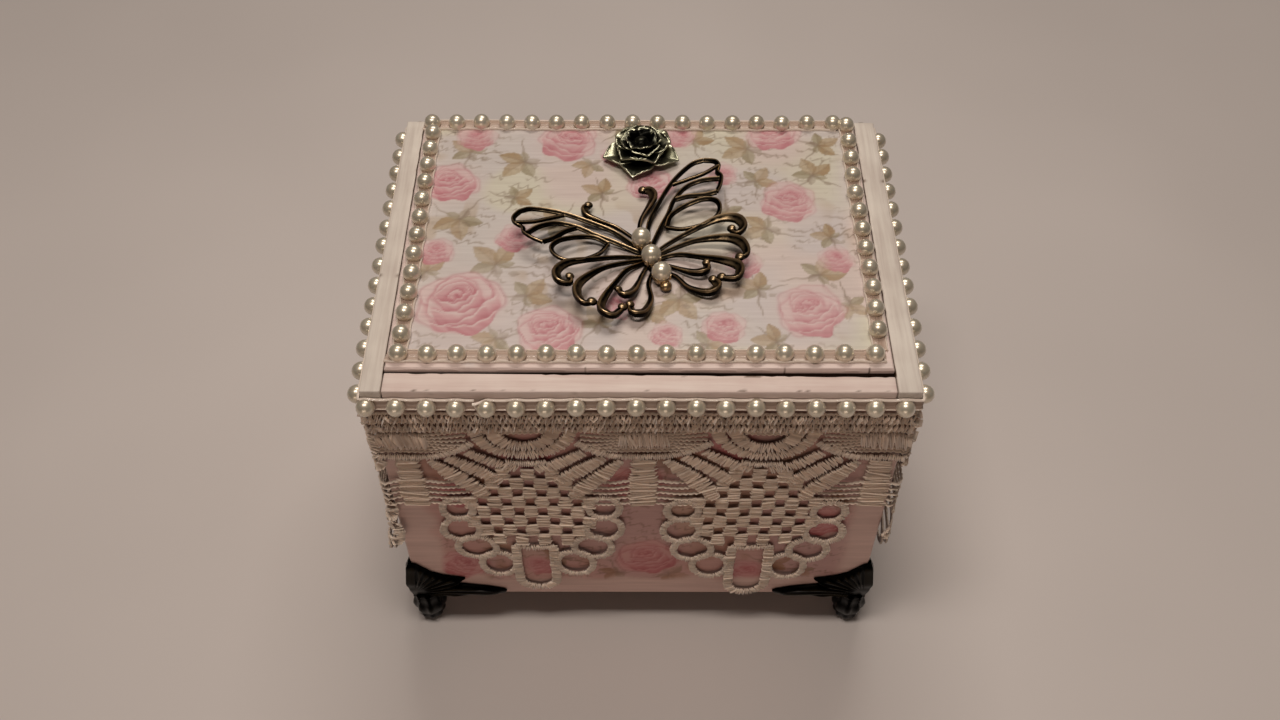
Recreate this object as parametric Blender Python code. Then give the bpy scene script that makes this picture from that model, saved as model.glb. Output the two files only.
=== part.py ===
"""A painted wooden cigar box that stands on metal corner feet, dressed with lace, pearls and charms.

Metres, +Z up. The origin is on the table, under the middle of the box. The front looks towards -Y.
"""

import math

import bmesh
import bpy
import numpy as np
from mathutils import Vector
from mathutils.geometry import delaunay_2d_cdt

# Wooden box: four walls on a let-in bottom, with a top frame on three sides
BODY_WIDTH = 0.1574
BODY_DEPTH = 0.1154
BODY_HEIGHT = 0.109
WALL = 0.008
BOTTOM_THICKNESS = 0.005
FRAME_THICKNESS = 0.008
FRAME_OVERHANG = 0.0013
LEFT_STILE_WIDTH = 0.006
RIGHT_STILE_WIDTH = 0.007
FRONT_RAIL_WIDTH = 0.0065
WOOD_EDGE_BEVEL = 0.0005

# Lid panel, which lifts off: it rests on the tops of the walls, inside the frame
LID_PROUD = 0.0012
LID_SIDE_GAP = 0.0004
LID_FRONT_GAP = 0.001

# Two solids that touch keep this much air between their meshes
TOUCH_GAP = 0.0003

# Pearl trim: domed pearls moulded on a flat tape
PEARL_RADIUS = 0.00255
PEARL_CENTRE_HEIGHT = 0.0014
PEARL_PITCH = 0.0085
PEARL_SIDES = 6
TAPE_THICKNESS = 0.0008
TAPE_END_MARGIN = 0.0033
BOX_TAPE_DROP = 0.005
LID_TAPE_INSET = 0.0028
LID_FRONT_TAPE_INSET = 0.0045
LID_BACK_TAPE_INSET = 0.0038
LID_TAPE_GAP = 0.0006

# Lace trim, hung round the front and both sides and turned in at the back
LACE_THICKNESS = 0.0008
LACE_OUTLINE_TOLERANCE = 0.001
LACE_TOP_DROP = 0.0015
LACE_PERIOD = 0.072
LACE_MIDDLE_X = 0.001
LACE_BAND_DEPTH = 0.0475
# Below the band the pineapples at the sides stand out by this slope, to hang over the feet
LACE_LEAN = 0.046
LACE_LEAN_START = 0.016
LACE_LEAN_FULL = 0.006
LACE_EYE_TOP = 0.0095
LACE_EYE_WIDTH = 0.0105
LACE_EYE_DEPTH = 0.0052
# Corners of the wedge-shaped opening beside each upright petal: out from the petal's axis, and down
LACE_WEDGE = ((0.0045, 0.0245), (0.0095, 0.0245), (0.0125, 0.034), (0.0068, 0.034))
PINEAPPLE_HALF_WIDTH = 0.0215
PINEAPPLE_HALF_HEIGHT = 0.026
PINEAPPLE_DROP = 0.0535
RIM_LOOP_RADIUS = 0.0064
RIM_LOOP_OPENING = 0.0038
RIM_LOOPS = ((0.0235, 0.0525), (0.0245, 0.065), (0.0197, 0.0755), (0.013, 0.084))
TAIL_LOOP_RADIUS = 0.0079
TAIL_LOOP_OPENING = 0.0047
TAIL_LOOP_TOP = 0.080
TAIL_LOOP_BOTTOM = 0.0975
NET_HOLE = 0.0031
NET_PITCH = 0.0076
NET_ROW_DROP = 0.0535
NET_HOLES = 2

# Corner feet: leaf plates up both faces of a corner, on a short scrolled leg
LEG_HEIGHT = 0.018
LEAF_TOP_THICKNESS = 0.001
LEAF_BOTTOM_THICKNESS = 0.0023
LEAF_HEIGHT = 0.023
LEAF_REACH = 0.032
LEAF_SPIKE_REACH = 0.018
LEG_SIDES = 8
PAD_RADIUS = 0.0024

# Butterfly charm: open bars cast as one, its wings rising from the body
BUTTERFLY_X = 0.0023
BUTTERFLY_BEFORE_LID_MIDDLE = 0.01175
BUTTERFLY_HALF_SPAN = 0.0346
BUTTERFLY_TURN_DEG = 22.5
BUTTERFLY_THICKNESS = 0.0016
BUTTERFLY_BAR = 0.0019
BUTTERFLY_BODY_HALF_WIDTH = 0.0021
BUTTERFLY_RISE = 0.19
BUTTERFLY_FILLET = 0.0012
BUTTERFLY_CELL = 0.0004
BUTTERFLY_TOLERANCE = 0.00032
BODY_PEARL_RADIUS = 0.003
BODY_PEARL_MIDDLE = -0.0021
BODY_PEARL_SPACING = 0.0079
BODY_PEARL_SINK = 0.0007

# Rose charm
ROSE_X = 0.0004
ROSE_BACK_INSET = 0.0185
ROSE_RADIUS = 0.0122
ROSE_HEIGHT = 0.0072
ROSE_PETALS = 5
ROSE_TURN_DEG = 46

# Heights above the table, and the frame's outline, that follow from these
BOX_BOTTOM = LEG_HEIGHT
FRAME_UNDERSIDE = BOX_BOTTOM + BODY_HEIGHT
FRAME_TOP = FRAME_UNDERSIDE + FRAME_THICKNESS
WALL_TOP = FRAME_UNDERSIDE - TOUCH_GAP
LID_TOP = FRAME_TOP + LID_PROUD
FRAME_X = BODY_WIDTH / 2 + FRAME_OVERHANG
FRAME_Y = BODY_DEPTH / 2 + FRAME_OVERHANG
LID_LEFT = -FRAME_X + LEFT_STILE_WIDTH + LID_SIDE_GAP
LID_RIGHT = FRAME_X - RIGHT_STILE_WIDTH - LID_SIDE_GAP
LID_FRONT = -FRAME_Y + FRONT_RAIL_WIDTH + LID_FRONT_GAP
LID_BACK = FRAME_Y
BUTTERFLY_Y = (LID_FRONT + LID_BACK) / 2 - BUTTERFLY_BEFORE_LID_MIDDLE
ROSE_Y = LID_BACK - ROSE_BACK_INSET
TAPE_WIDTH = 2 * PEARL_RADIUS * math.cos(math.pi / PEARL_SIDES)


def clear_scene():
    for old in list(bpy.data.objects):
        bpy.data.objects.remove(old, do_unlink=True)


def make_material(name, colour, roughness, metallic=0.0):
    material = bpy.data.materials.new(name)
    material.use_nodes = True
    shader = material.node_tree.nodes["Principled BSDF"]
    shader.inputs["Base Color"].default_value = (*colour, 1.0)
    shader.inputs["Roughness"].default_value = roughness
    shader.inputs["Metallic"].default_value = metallic
    return material


def add_object(name, bm, material, smooth_angle_deg=None):
    """One closed solid from a bmesh, which is used up."""
    mesh = bpy.data.meshes.new(name)
    bmesh.ops.recalc_face_normals(bm, faces=bm.faces)
    if bm.calc_volume(signed=True) < 0:
        bmesh.ops.reverse_faces(bm, faces=bm.faces)
    bm.to_mesh(mesh)
    bm.free()
    mesh.materials.append(material)
    if smooth_angle_deg is not None:
        mesh.shade_smooth()
        mesh.set_sharp_from_angle(angle=math.radians(smooth_angle_deg))
    piece = bpy.data.objects.new(name, mesh)
    bpy.context.scene.collection.objects.link(piece)
    return piece


def add_board(name, low, high, material):
    """A board between two corners, with its edges just broken."""
    bm = bmesh.new()
    bmesh.ops.create_cube(bm, size=1.0)
    low, high = Vector(low), Vector(high)
    for vertex in bm.verts:
        vertex.co = Vector(
            [(low[i] + high[i]) / 2 + vertex.co[i] * (high[i] - low[i]) for i in range(3)]
        )
    board = add_object(name, bm, material)
    bevel = board.modifiers.new("broken edges", "BEVEL")
    bevel.width = WOOD_EDGE_BEVEL
    bevel.segments = 1
    bevel.limit_method = "NONE"
    return board


# Flat plates cut to an outline


def bar_distance(points, x, y):
    """How far each grid point is from a bar's centreline."""
    nearest = np.full(x.shape, np.inf)
    for (x0, y0), (x1, y1) in zip(points[:-1], points[1:]):
        dx, dy = x1 - x0, y1 - y0
        share = np.clip(((x - x0) * dx + (y - y0) * dy) / (dx * dx + dy * dy), 0, 1)
        nearest = np.minimum(nearest, np.hypot(x - x0 - share * dx, y - y0 - share * dy))
    return nearest


def filleted(one, other, fillet):
    """The union of two shapes, with their inner corners rounded."""
    near = np.maximum(fillet - np.abs(one - other), 0)
    return np.minimum(one, other) - near * near / (4 * fillet)


def smooth_line(points, steps=4):
    """A smooth curve through hand-placed points."""
    points = [Vector(p) for p in points]
    ends = [2 * points[0] - points[1]] + points + [2 * points[-1] - points[-2]]
    line = []
    for before, start, end, after in zip(ends, ends[1:], ends[2:], ends[3:]):
        for step in range(steps):
            t = step / steps
            line.append(
                0.5
                * (
                    2 * start
                    + (end - before) * t
                    + (2 * before - 5 * start + 4 * end - after) * t * t
                    + (3 * start - before - 3 * end + after) * t**3
                )
            )
    return [tuple(p) for p in line + [points[-1]]]


def outlines_of(inside, xs, ys):
    """Closed outlines of the area where a grid of values is below zero, walked with the area on the left."""
    following = {}

    def crossing(a, b):
        (i0, j0), (i1, j1) = min(a, b), max(a, b)
        v0, v1 = inside[i0, j0], inside[i1, j1]
        share = v0 / (v0 - v1)
        at = (xs[i0] + share * (xs[i1] - xs[i0]), ys[j0] + share * (ys[j1] - ys[j0]))
        return (i0, j0, i1, j1), at

    places = {}
    below = inside < 0
    mixed = below[:-1, :-1].astype(int) + below[1:, :-1] + below[1:, 1:] + below[:-1, 1:]
    for i, j in zip(*np.nonzero((mixed > 0) & (mixed < 4))):
        corners = [(i, j), (i + 1, j), (i + 1, j + 1), (i, j + 1)]
        leaving, entering = [], []
        for k in range(4):
            a, b = corners[k], corners[(k + 1) % 4]
            if below[a] != below[b]:
                key, at = crossing(a, b)
                places[key] = at
                (leaving if below[a] else entering).append((k, key))
        for k, key in leaving:
            nearest = min(entering, key=lambda e: (e[0] - k) % 4)
            following[key] = nearest[1]
    loops = []
    while following:
        first = next(iter(following))
        loop, key = [], first
        while key in following:
            loop.append(places[key])
            key = following.pop(key)
        loops.append(loop)
    return loops


def simplified(loop, tolerance):
    """A closed outline without the points that lie within the tolerance of the rest."""
    points = np.array(loop)

    def keep(first, last):
        start, chord = points[first], points[last] - points[first]
        between = points[first + 1 : last] - start
        if len(between) == 0:
            return []
        length = max(np.hypot(*chord), 1e-12)
        away = np.abs(between[:, 0] * chord[1] - between[:, 1] * chord[0]) / length
        if length < 1e-9:
            away = np.hypot(*between.T)
        worst = int(away.argmax())
        if away[worst] <= tolerance:
            return []
        middle = first + 1 + worst
        return keep(first, middle) + [middle] + keep(middle, last)

    far = int(np.hypot(*(points - points[0]).T).argmax())
    points = np.vstack([points, points[:1]])
    kept = [0] + keep(0, far) + [far] + keep(far, len(points) - 1)
    return [tuple(points[i]) for i in kept]


def is_inside(point, loops):
    """Whether a point lies inside by the even-odd rule."""
    x, y = point
    odd = False
    for loop in loops:
        for (x0, y0), (x1, y1) in zip(loop, loop[1:] + loop[:1]):
            if (y0 > y) != (y1 > y) and x < x0 + (y - y0) * (x1 - x0) / (y1 - y0):
                odd = not odd
    return odd


def cut_plate(loops):
    """A flat plate, in X and Y, between Z 0 and 1, with the outlines that lie inside others as holes."""
    flat, edges = [], []
    for loop in loops:
        first = len(flat)
        flat += [Vector(p) for p in loop]
        edges += [(first + k, first + (k + 1) % len(loop)) for k in range(len(loop))]
    verts, _, faces, _, _, _ = delaunay_2d_cdt(flat, edges, [], 0, 1e-7)
    bm = bmesh.new()
    low = [bm.verts.new((v.x, v.y, 0)) for v in verts]
    high = [bm.verts.new((v.x, v.y, 1)) for v in verts]
    rim = {}
    for face in faces:
        middle = sum((verts[i] for i in face), Vector((0, 0))) / len(face)
        if not is_inside(middle, loops):
            continue
        bm.faces.new([high[i] for i in face])
        bm.faces.new([low[i] for i in reversed(face)])
        for a, b in zip(face, face[1:] + face[:1]):
            if not rim.pop((b, a), False):
                rim[(a, b)] = True
    for a, b in rim:
        bm.faces.new([low[a], low[b], high[b], high[a]])
    bmesh.ops.delete(bm, geom=[v for v in bm.verts if not v.link_faces], context="VERTS")
    return bm


def crease(bm, x):
    """Edges across a plate at x, where it is going to be folded."""
    parts = bm.verts[:] + bm.edges[:] + bm.faces[:]
    bmesh.ops.bisect_plane(bm, geom=parts, plane_co=(x, 0, 0), plane_no=(1, 0, 0), dist=1e-7)


# Wood


def build_box(wood):
    x, y = BODY_WIDTH / 2, BODY_DEPTH / 2
    inner_x, inner_y = x - WALL, y - WALL
    add_board("front_wall", (-x, -y, BOX_BOTTOM), (x, -inner_y, WALL_TOP), wood)
    add_board("back_wall", (-x, inner_y, BOX_BOTTOM), (x, y, WALL_TOP), wood)
    for name, side in (("left_wall", -1), ("right_wall", 1)):
        near, far = sorted((side * inner_x, side * x))
        low = (near, -inner_y + TOUCH_GAP, BOX_BOTTOM)
        add_board(name, low, (far, inner_y - TOUCH_GAP, WALL_TOP), wood)
    low = (-inner_x + TOUCH_GAP, -inner_y + TOUCH_GAP, BOX_BOTTOM)
    high = (inner_x - TOUCH_GAP, inner_y - TOUCH_GAP, BOX_BOTTOM + BOTTOM_THICKNESS)
    add_board("bottom_board", low, high, wood)


def build_frame(wood):
    left_inner = -FRAME_X + LEFT_STILE_WIDTH
    right_inner = FRAME_X - RIGHT_STILE_WIDTH
    low, high = FRAME_UNDERSIDE, FRAME_TOP
    add_board("left_stile", (-FRAME_X, -FRAME_Y, low), (left_inner, FRAME_Y, high), wood)
    add_board("right_stile", (right_inner, -FRAME_Y, low), (FRAME_X, FRAME_Y, high), wood)
    add_board(
        "front_rail",
        (left_inner + TOUCH_GAP, -FRAME_Y, low),
        (right_inner - TOUCH_GAP, -FRAME_Y + FRONT_RAIL_WIDTH, high),
        wood,
    )


def build_lid(wood):
    add_board("lid", (LID_LEFT, LID_FRONT, FRAME_UNDERSIDE), (LID_RIGHT, LID_BACK, LID_TOP), wood)


# Pearl trim


def pearl_places(length):
    """Where the pearls sit along a run of tape, evenly and near the nominal pitch."""
    run = length - 2 * TAPE_END_MARGIN
    gaps = max(1, round(run / PEARL_PITCH))
    return [TAPE_END_MARGIN + run * k / gaps for k in range(gaps + 1)]


def fan(bm, top, start, end):
    """Triangles from a row of points down to the two ends of a straight edge."""
    half = len(top) // 2
    for a, b in zip(top[:half], top[1 : half + 1]):
        bm.faces.new([a, b, start])
    bm.faces.new([top[half], end, start])
    for a, b in zip(top[half:-1], top[half + 1 :]):
        bm.faces.new([a, b, end])


def dome(bm, ring, centre, out):
    """A pearl's dome over a ring of points in the tape's face."""
    shoulder_height = PEARL_CENTRE_HEIGHT + PEARL_RADIUS * 0.62
    shoulder = [
        bm.verts.new(centre + (v.co - centre) * 0.78 + out * (shoulder_height - TAPE_THICKNESS))
        for v in ring
    ]
    top = bm.verts.new(centre + out * (PEARL_CENTRE_HEIGHT + PEARL_RADIUS - TAPE_THICKNESS))
    for k in range(len(ring)):
        n = (k + 1) % len(ring)
        bm.faces.new([ring[k], ring[n], shoulder[n], shoulder[k]])
        bm.faces.new([shoulder[k], shoulder[n], top])


def pearl_run(bm, start, along, out, length, back_corners, face_corners):
    """One straight run of tape with its pearls.

    The corners are the run's four back points and four face points: start low, start high, end high, end low.
    """
    across = out.cross(along)
    low_row, high_row = [face_corners[0]], [face_corners[1]]
    before = [face_corners[0], face_corners[1]]
    for place in pearl_places(length):
        centre = start + along * place + out * TAPE_THICKNESS
        ring = []
        for k in range(PEARL_SIDES):
            angle = math.tau * k / PEARL_SIDES
            offset = along * math.cos(angle) * PEARL_RADIUS + across * math.sin(angle) * PEARL_RADIUS
            ring.append(bm.verts.new(centre + offset))
        dome(bm, ring, centre, out)
        bm.faces.new(before + [ring[2], ring[3], ring[4]])
        before = [ring[5], ring[0], ring[1]]
        low_row += [ring[4], ring[5]]
        high_row += [ring[2], ring[1]]
    low_row.append(face_corners[3])
    high_row.append(face_corners[2])
    bm.faces.new(before + [face_corners[2], face_corners[3]])
    fan(bm, high_row, back_corners[1], back_corners[2])
    fan(bm, low_row, back_corners[0], back_corners[3])
    bm.faces.new(back_corners)


def tape_corners(bm, low_start, low_end, high_start, high_end):
    return [bm.verts.new(p) for p in (low_start, high_start, high_end, low_end)]


def build_lid_tape(name, start, end, pearl):
    """A straight length of pearl tape laid on the lid between two points of its centreline."""
    bm = bmesh.new()
    level = LID_TOP + TOUCH_GAP
    start, end = Vector((*start, level)), Vector((*end, level))
    along = (end - start).normalized()
    out = Vector((0, 0, 1))
    side = out.cross(along) * TAPE_WIDTH / 2
    lift = out * TAPE_THICKNESS
    back = tape_corners(bm, start - side, end - side, start + side, end + side)
    rise = [v.co + lift for v in back]
    face = [bm.verts.new(p) for p in rise]
    pearl_run(bm, start, along, out, (end - start).length, back, face)
    bm.faces.new([back[0], back[1], face[1], face[0]])
    bm.faces.new([back[2], back[3], face[3], face[2]])
    add_object(name, bm, pearl, smooth_angle_deg=50)


def build_lid_tapes(pearl):
    half = TAPE_WIDTH / 2
    front_y = LID_FRONT + LID_FRONT_TAPE_INSET
    back_y = LID_BACK - LID_BACK_TAPE_INSET
    left_x, right_x = LID_LEFT + LID_TAPE_INSET, LID_RIGHT - LID_TAPE_INSET
    column_start = front_y + half + LID_TAPE_GAP
    back_end = right_x - half - LID_TAPE_GAP
    build_lid_tape("lid_pearls_front", (LID_LEFT, front_y), (right_x, front_y), pearl)
    build_lid_tape("lid_pearls_back", (LID_LEFT, back_y), (back_end, back_y), pearl)
    left_end = back_y - half - LID_TAPE_GAP
    build_lid_tape("lid_pearls_left", (left_x, column_start), (left_x, left_end), pearl)
    build_lid_tape("lid_pearls_right", (right_x, column_start), (right_x, LID_BACK), pearl)


def build_box_tape(pearl):
    """One closed band of pearl tape round the edge of the frame and the lid's back edge."""
    bm = bmesh.new()
    middle = FRAME_TOP - BOX_TAPE_DROP
    heights = (middle - TAPE_WIDTH / 2, middle + TAPE_WIDTH / 2)
    turns = ((-1, -1), (1, -1), (1, 1), (-1, 1))

    def corner(turn, height, out):
        x = turn[0] * (FRAME_X + TOUCH_GAP + out)
        return bm.verts.new((x, turn[1] * (FRAME_Y + TOUCH_GAP + out), height))

    back = [[corner(turn, height, 0) for height in heights] for turn in turns]
    face = [[corner(turn, height, TAPE_THICKNESS) for height in heights] for turn in turns]
    for k in range(4):
        n = (k + 1) % 4
        start = (back[k][0].co + back[k][1].co) / 2
        end = (back[n][0].co + back[n][1].co) / 2
        along = (end - start).normalized()
        out = along.cross(Vector((0, 0, 1)))
        backs = [back[k][0], back[k][1], back[n][1], back[n][0]]
        faces = [face[k][0], face[k][1], face[n][1], face[n][0]]
        pearl_run(bm, start, along, out, (end - start).length, backs, faces)
    add_object("box_pearls", bm, pearl, smooth_angle_deg=50)


# Lace


def lace_middle_out():
    return TOUCH_GAP + LACE_THICKNESS / 2


def lace_corner_ways():
    """How far along the lace's middle its folds are from the middle of the front."""
    front = BODY_WIDTH / 2 + lace_middle_out()
    return front, front + BODY_DEPTH + 2 * lace_middle_out()


def round_the_box(way, out):
    """Where a point of a band round the walls lies in plan: way from the middle of the front, and out."""
    x, y = BODY_WIDTH / 2 + out, BODY_DEPTH / 2 + out
    front, back = lace_corner_ways()
    walked = abs(way)
    same = 1e-6
    if walked < front - same:
        place = (min(walked, x), -y)
    elif walked <= front + same:
        place = (x, -y)
    elif walked < back - same:
        place = (x, min(max(walked - (front + back) / 2, -y), y))
    elif walked <= back + same:
        place = (x, y)
    else:
        place = (min(front + back - walked, x), y)
    return math.copysign(place[0], way), place[1]


def lace_lean(way, drop):
    """How far a point of the lace stands out from where it would lie flat on the wall."""
    before_corner = lace_corner_ways()[0] - abs(way)
    share = (LACE_LEAN_START - before_corner) / (LACE_LEAN_START - LACE_LEAN_FULL)
    return LACE_LEAN * min(max(share, 0), 1) * max(drop - LACE_BAND_DEPTH, 0)


def lace_repeats():
    """How many whole repeats of the pattern reach past both back corners."""
    return math.ceil(2 * lace_corner_ways()[1] / LACE_PERIOD)


def lace_outline(xs, drops):
    """Below zero on the lace: the band, and a scalloped pineapple hanging from each repeat."""
    x, drop = np.meshgrid(xs, drops, indexing="ij")
    half_run = lace_repeats() * LACE_PERIOD / 2
    band = np.maximum(np.abs(x) - half_run, np.abs(drop - LACE_BAND_DEPTH / 2) - LACE_BAND_DEPTH / 2)
    shape = band
    for k in range(lace_repeats()):
        axis = (k + 0.5) * LACE_PERIOD - half_run
        across = np.abs(x - axis)
        body = np.hypot(across / PINEAPPLE_HALF_WIDTH, (drop - PINEAPPLE_DROP) / PINEAPPLE_HALF_HEIGHT)
        shape = np.minimum(shape, (body - 1) * PINEAPPLE_HALF_WIDTH)
        for loop_x, loop_drop in RIM_LOOPS:
            shape = np.minimum(shape, np.hypot(across - loop_x, drop - loop_drop) - RIM_LOOP_RADIUS)
        tail = bar_distance([(0, TAIL_LOOP_TOP), (0, TAIL_LOOP_BOTTOM)], across, drop)
        shape = np.minimum(shape, tail - TAIL_LOOP_RADIUS)
    return shape


def regular_hole(x, drop, radius, sides, turn=0.0):
    angles = [turn + math.tau * k / sides for k in range(sides)]
    return [(x + radius * math.cos(a), drop + radius * math.sin(a)) for a in angles]


def lace_holes(axis):
    """The openings of one repeat of the lace, about its pineapple's axis."""
    half = LACE_EYE_WIDTH / 2
    eye = [
        (axis + half * math.cos(a), LACE_EYE_TOP + LACE_EYE_DEPTH * math.sin(a))
        for a in (0, math.pi / 3, 2 * math.pi / 3, math.pi)
    ]
    holes = [eye]
    for side in (-1, 1):
        petal = axis + side * LACE_PERIOD / 2
        holes.append([(petal - side * x, drop) for x, drop in LACE_WEDGE])
        for loop_x, loop_drop in RIM_LOOPS:
            holes.append(regular_hole(axis + side * loop_x, loop_drop, RIM_LOOP_OPENING, 4))
    for k in range(NET_HOLES):
        x = axis + (k - (NET_HOLES - 1) / 2) * NET_PITCH
        holes.append(regular_hole(x, NET_ROW_DROP, NET_HOLE / math.sqrt(2), 4, math.pi / 4))
    tail = [(0, TAIL_LOOP_BOTTOM, 0), (0, TAIL_LOOP_TOP + RIM_LOOP_OPENING, math.pi)]
    loop = []
    for x, drop, turn in tail:
        for a in (0, math.pi / 2, math.pi):
            r = TAIL_LOOP_OPENING
            loop.append((axis + x + r * math.cos(turn + a), drop + r * math.sin(turn + a)))
    return holes + [loop]


def snapped(loop):
    """An outline whose points close to a fold lie on it."""
    near = LACE_THICKNESS
    folds = [side * way - LACE_MIDDLE_X for way in lace_corner_ways() for side in (-1, 1)]
    moved = []
    for x, drop in loop:
        fold = min(folds, key=lambda f: abs(f - x))
        point = (fold if abs(fold - x) < near else x, drop)
        if not moved or math.dist(point, moved[-1]) > near / 4:
            moved.append(point)
    return moved


def build_lace(lace):
    half_run = lace_repeats() * LACE_PERIOD / 2
    cell = LACE_THICKNESS
    xs = np.arange(-half_run - 2 * cell, half_run + 2.5 * cell, cell)
    drops = np.arange(-2 * cell, TAIL_LOOP_BOTTOM + TAIL_LOOP_RADIUS + 2.5 * cell, cell)
    outline = outlines_of(lace_outline(xs, drops), xs, drops)
    loops = [simplified(loop, LACE_OUTLINE_TOLERANCE) for loop in outline]
    for k in range(lace_repeats()):
        loops += lace_holes((k + 0.5) * LACE_PERIOD - half_run)
    bm = cut_plate([snapped(loop) for loop in loops])
    for way in lace_corner_ways():
        crease(bm, way - LACE_MIDDLE_X)
        crease(bm, -way - LACE_MIDDLE_X)
    top = FRAME_UNDERSIDE - LACE_TOP_DROP
    for vertex in bm.verts:
        way, drop = vertex.co.x + LACE_MIDDLE_X, vertex.co.y
        out = TOUCH_GAP + LACE_THICKNESS * vertex.co.z + lace_lean(way, drop)
        vertex.co = Vector((*round_the_box(way, out), top - drop))
    add_object("lace_trim", bm, lace, smooth_angle_deg=30)


# Corner feet


def leaf_outline():
    """Half of a foot's leaf plate: distance from the corner, and height above the box's bottom."""
    h, reach, spike = LEAF_HEIGHT, LEAF_REACH, LEAF_SPIKE_REACH
    return [
        (0.0014, h * 0.985),
        (0.0042, h * 0.84),
        (0.0068, h * 0.68),
        (spike * 0.70, h * 0.56),
        (spike, h * 0.49),
        (spike * 0.98, h * 0.44),
        (spike * 0.68, h * 0.35),
        (reach * 0.58, h * 0.30),
        (reach * 0.80, h * 0.23),
        (reach, h * 0.12),
        (reach * 0.97, h * 0.05),
        (reach * 0.66, -h * 0.02),
        (reach * 0.34, -h * 0.09),
    ]


def leg_rings():
    """The leg's rings: depth below the box, how far in from both faces its axis is, and its radius."""
    depth = LEG_HEIGHT
    neck = LEAF_BOTTOM_THICKNESS * 2.2
    return [
        (TOUCH_GAP, 0.0030, neck),
        (depth * 0.16, 0.0028, neck * 0.94),
        (depth * 0.27, 0.0032, neck * 0.82),
        (depth * 0.45, 0.0030, neck * 0.98),
        (depth * 0.62, 0.0032, neck * 0.84),
        (depth * 0.82, 0.0028, PAD_RADIUS * 1.12),
        (depth, 0.0026, PAD_RADIUS),
    ]


def build_foot(name, side_x, side_y, bronze):
    """A foot on one corner. In its own frame X runs in along one face, and Y along the other."""

    def place(x, y, z):
        corner_x, corner_y = side_x * BODY_WIDTH / 2, side_y * BODY_DEPTH / 2
        return Vector((corner_x - side_x * x, corner_y - side_y * y, BOX_BOTTOM + z))

    half = leaf_outline()
    top, bottom = (0.0, LEAF_HEIGHT), (0.0, -LEAF_HEIGHT * 0.13)
    outline = [top] + half + [bottom] + [(-s, z) for s, z in reversed(half)]
    bm = cut_plate([outline])
    crease(bm, 0.0)
    for vertex in bm.verts:
        s, z, layer = vertex.co
        low_share = min(max(1 - z / LEAF_HEIGHT, 0), 1)
        thick = LEAF_TOP_THICKNESS + (LEAF_BOTTOM_THICKNESS - LEAF_TOP_THICKNESS) * low_share
        out = TOUCH_GAP + thick * layer
        x, y = (-out, -out) if abs(s) < 1e-6 else (s, -out) if s > 0 else (-out, -s)
        vertex.co = place(x, y, z)
    leaf = add_object(name, bm, bronze, smooth_angle_deg=35)

    bm = bmesh.new()
    rings = []
    for depth, inset, radius in leg_rings():
        angles = [math.tau * (k + 0.5) / LEG_SIDES for k in range(LEG_SIDES)]
        spots = [(inset + radius * math.cos(a), inset + radius * math.sin(a)) for a in angles]
        rings.append([bm.verts.new(place(x, y, -depth)) for x, y in spots])
    for upper, lower in zip(rings, rings[1:]):
        for k in range(LEG_SIDES):
            n = (k + 1) % LEG_SIDES
            bm.faces.new([upper[k], upper[n], lower[n], lower[k]])
    bm.faces.new(rings[0])
    bm.faces.new(rings[-1])
    leg = add_object(name + "_leg", bm, bronze)
    leg.hide_render = True
    leg.display_type = "WIRE"
    union = leaf.modifiers.new("leg", "BOOLEAN")
    union.operation = "UNION"
    union.solver = "EXACT"
    union.object = leg


def build_feet(bronze):
    for name, side_x, side_y in (
        ("foot_front_left", -1, -1),
        ("foot_front_right", 1, -1),
        ("foot_back_left", -1, 1),
        ("foot_back_right", 1, 1),
    ):
        build_foot(name, side_x, side_y, bronze)


# Butterfly

# Bars of one side, drawn as if the wing reached 34.6 out: out from the body's axis, and towards the head
DRAWN_REACH = 34.6
WING_BARS = {
    "antenna": "0.7,9.5 4,15.8 8.5,19.8 11.2,22.5 11.2,25.7 9.2,27.2",
    "leading_edge": "1.2,4 5.5,13 11.5,19.3 19,25.5 27,29.2 31.4,28.9",
    "tip": "31.4,28.9 34.2,26.6 34.6,24.2 33,21.7 33.3,19.5 31.6,16.5 29.2,14",
    "tip_branch": "18.6,24.6 24,24.2 29.2,24.3 32,25.9",
    "middle_bar": "0.8,2 8,9.6 12.3,13.6 16.4,18.1 22,21.2 27.5,21 32.4,18.8",
    "lower_branch": "16.9,18 20.7,17.2 25.2,15 29.2,14",
    "oval": "9.8,9 13,12.6 18.3,13.9 24,13.6 27.4,11.3 27.6,8 25.2,5 20.5,4 14,5.6 9.8,9",
    "scroll_1": "1.5,0.8 8,2.4 15,3.2 24.5,3.4 29.6,0.6 30.3,-3.4 27.6,-4.9 26.6,-2.6",
    "scroll_2": "1.5,-0.4 8,-0.2 16,-1.2 24,-5.2 27,-9.4 26.6,-13.6 24,-14.2",
    "scroll_3": "1.5,-1.4 8,-3 13,-6.8 19.4,-12.8 22.4,-17.4 20,-20.6 16,-18.4",
    "scroll_4": "1.2,-2.4 5,-6.6 9.8,-12.2 13.4,-13.4 14.4,-10.9",
    "scroll_5": "1.2,-6 4.4,-10.5 6.2,-16.8 10.3,-21.4 13.8,-20.9 13.4,-17.8",
}
# Radius of the ball that ends a bar, drawn to the same reach
BAR_ENDS = {
    "antenna": 1.5,
    "scroll_1": 1.5,
    "scroll_2": 1.7,
    "scroll_3": 1.6,
    "scroll_4": 1.4,
    "scroll_5": 1.5,
}
BODY_LINE = "0,9.5 0,-11"
TAIL_KNOB = "0,-13.6"
TAIL_KNOB_RADIUS = 1.7
DRAWN_SCALE = BUTTERFLY_HALF_SPAN / DRAWN_REACH


def drawn(bar):
    """The real places of a bar's drawn points."""
    return [tuple(float(value) * DRAWN_SCALE for value in point.split(",")) for point in bar.split()]


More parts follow.
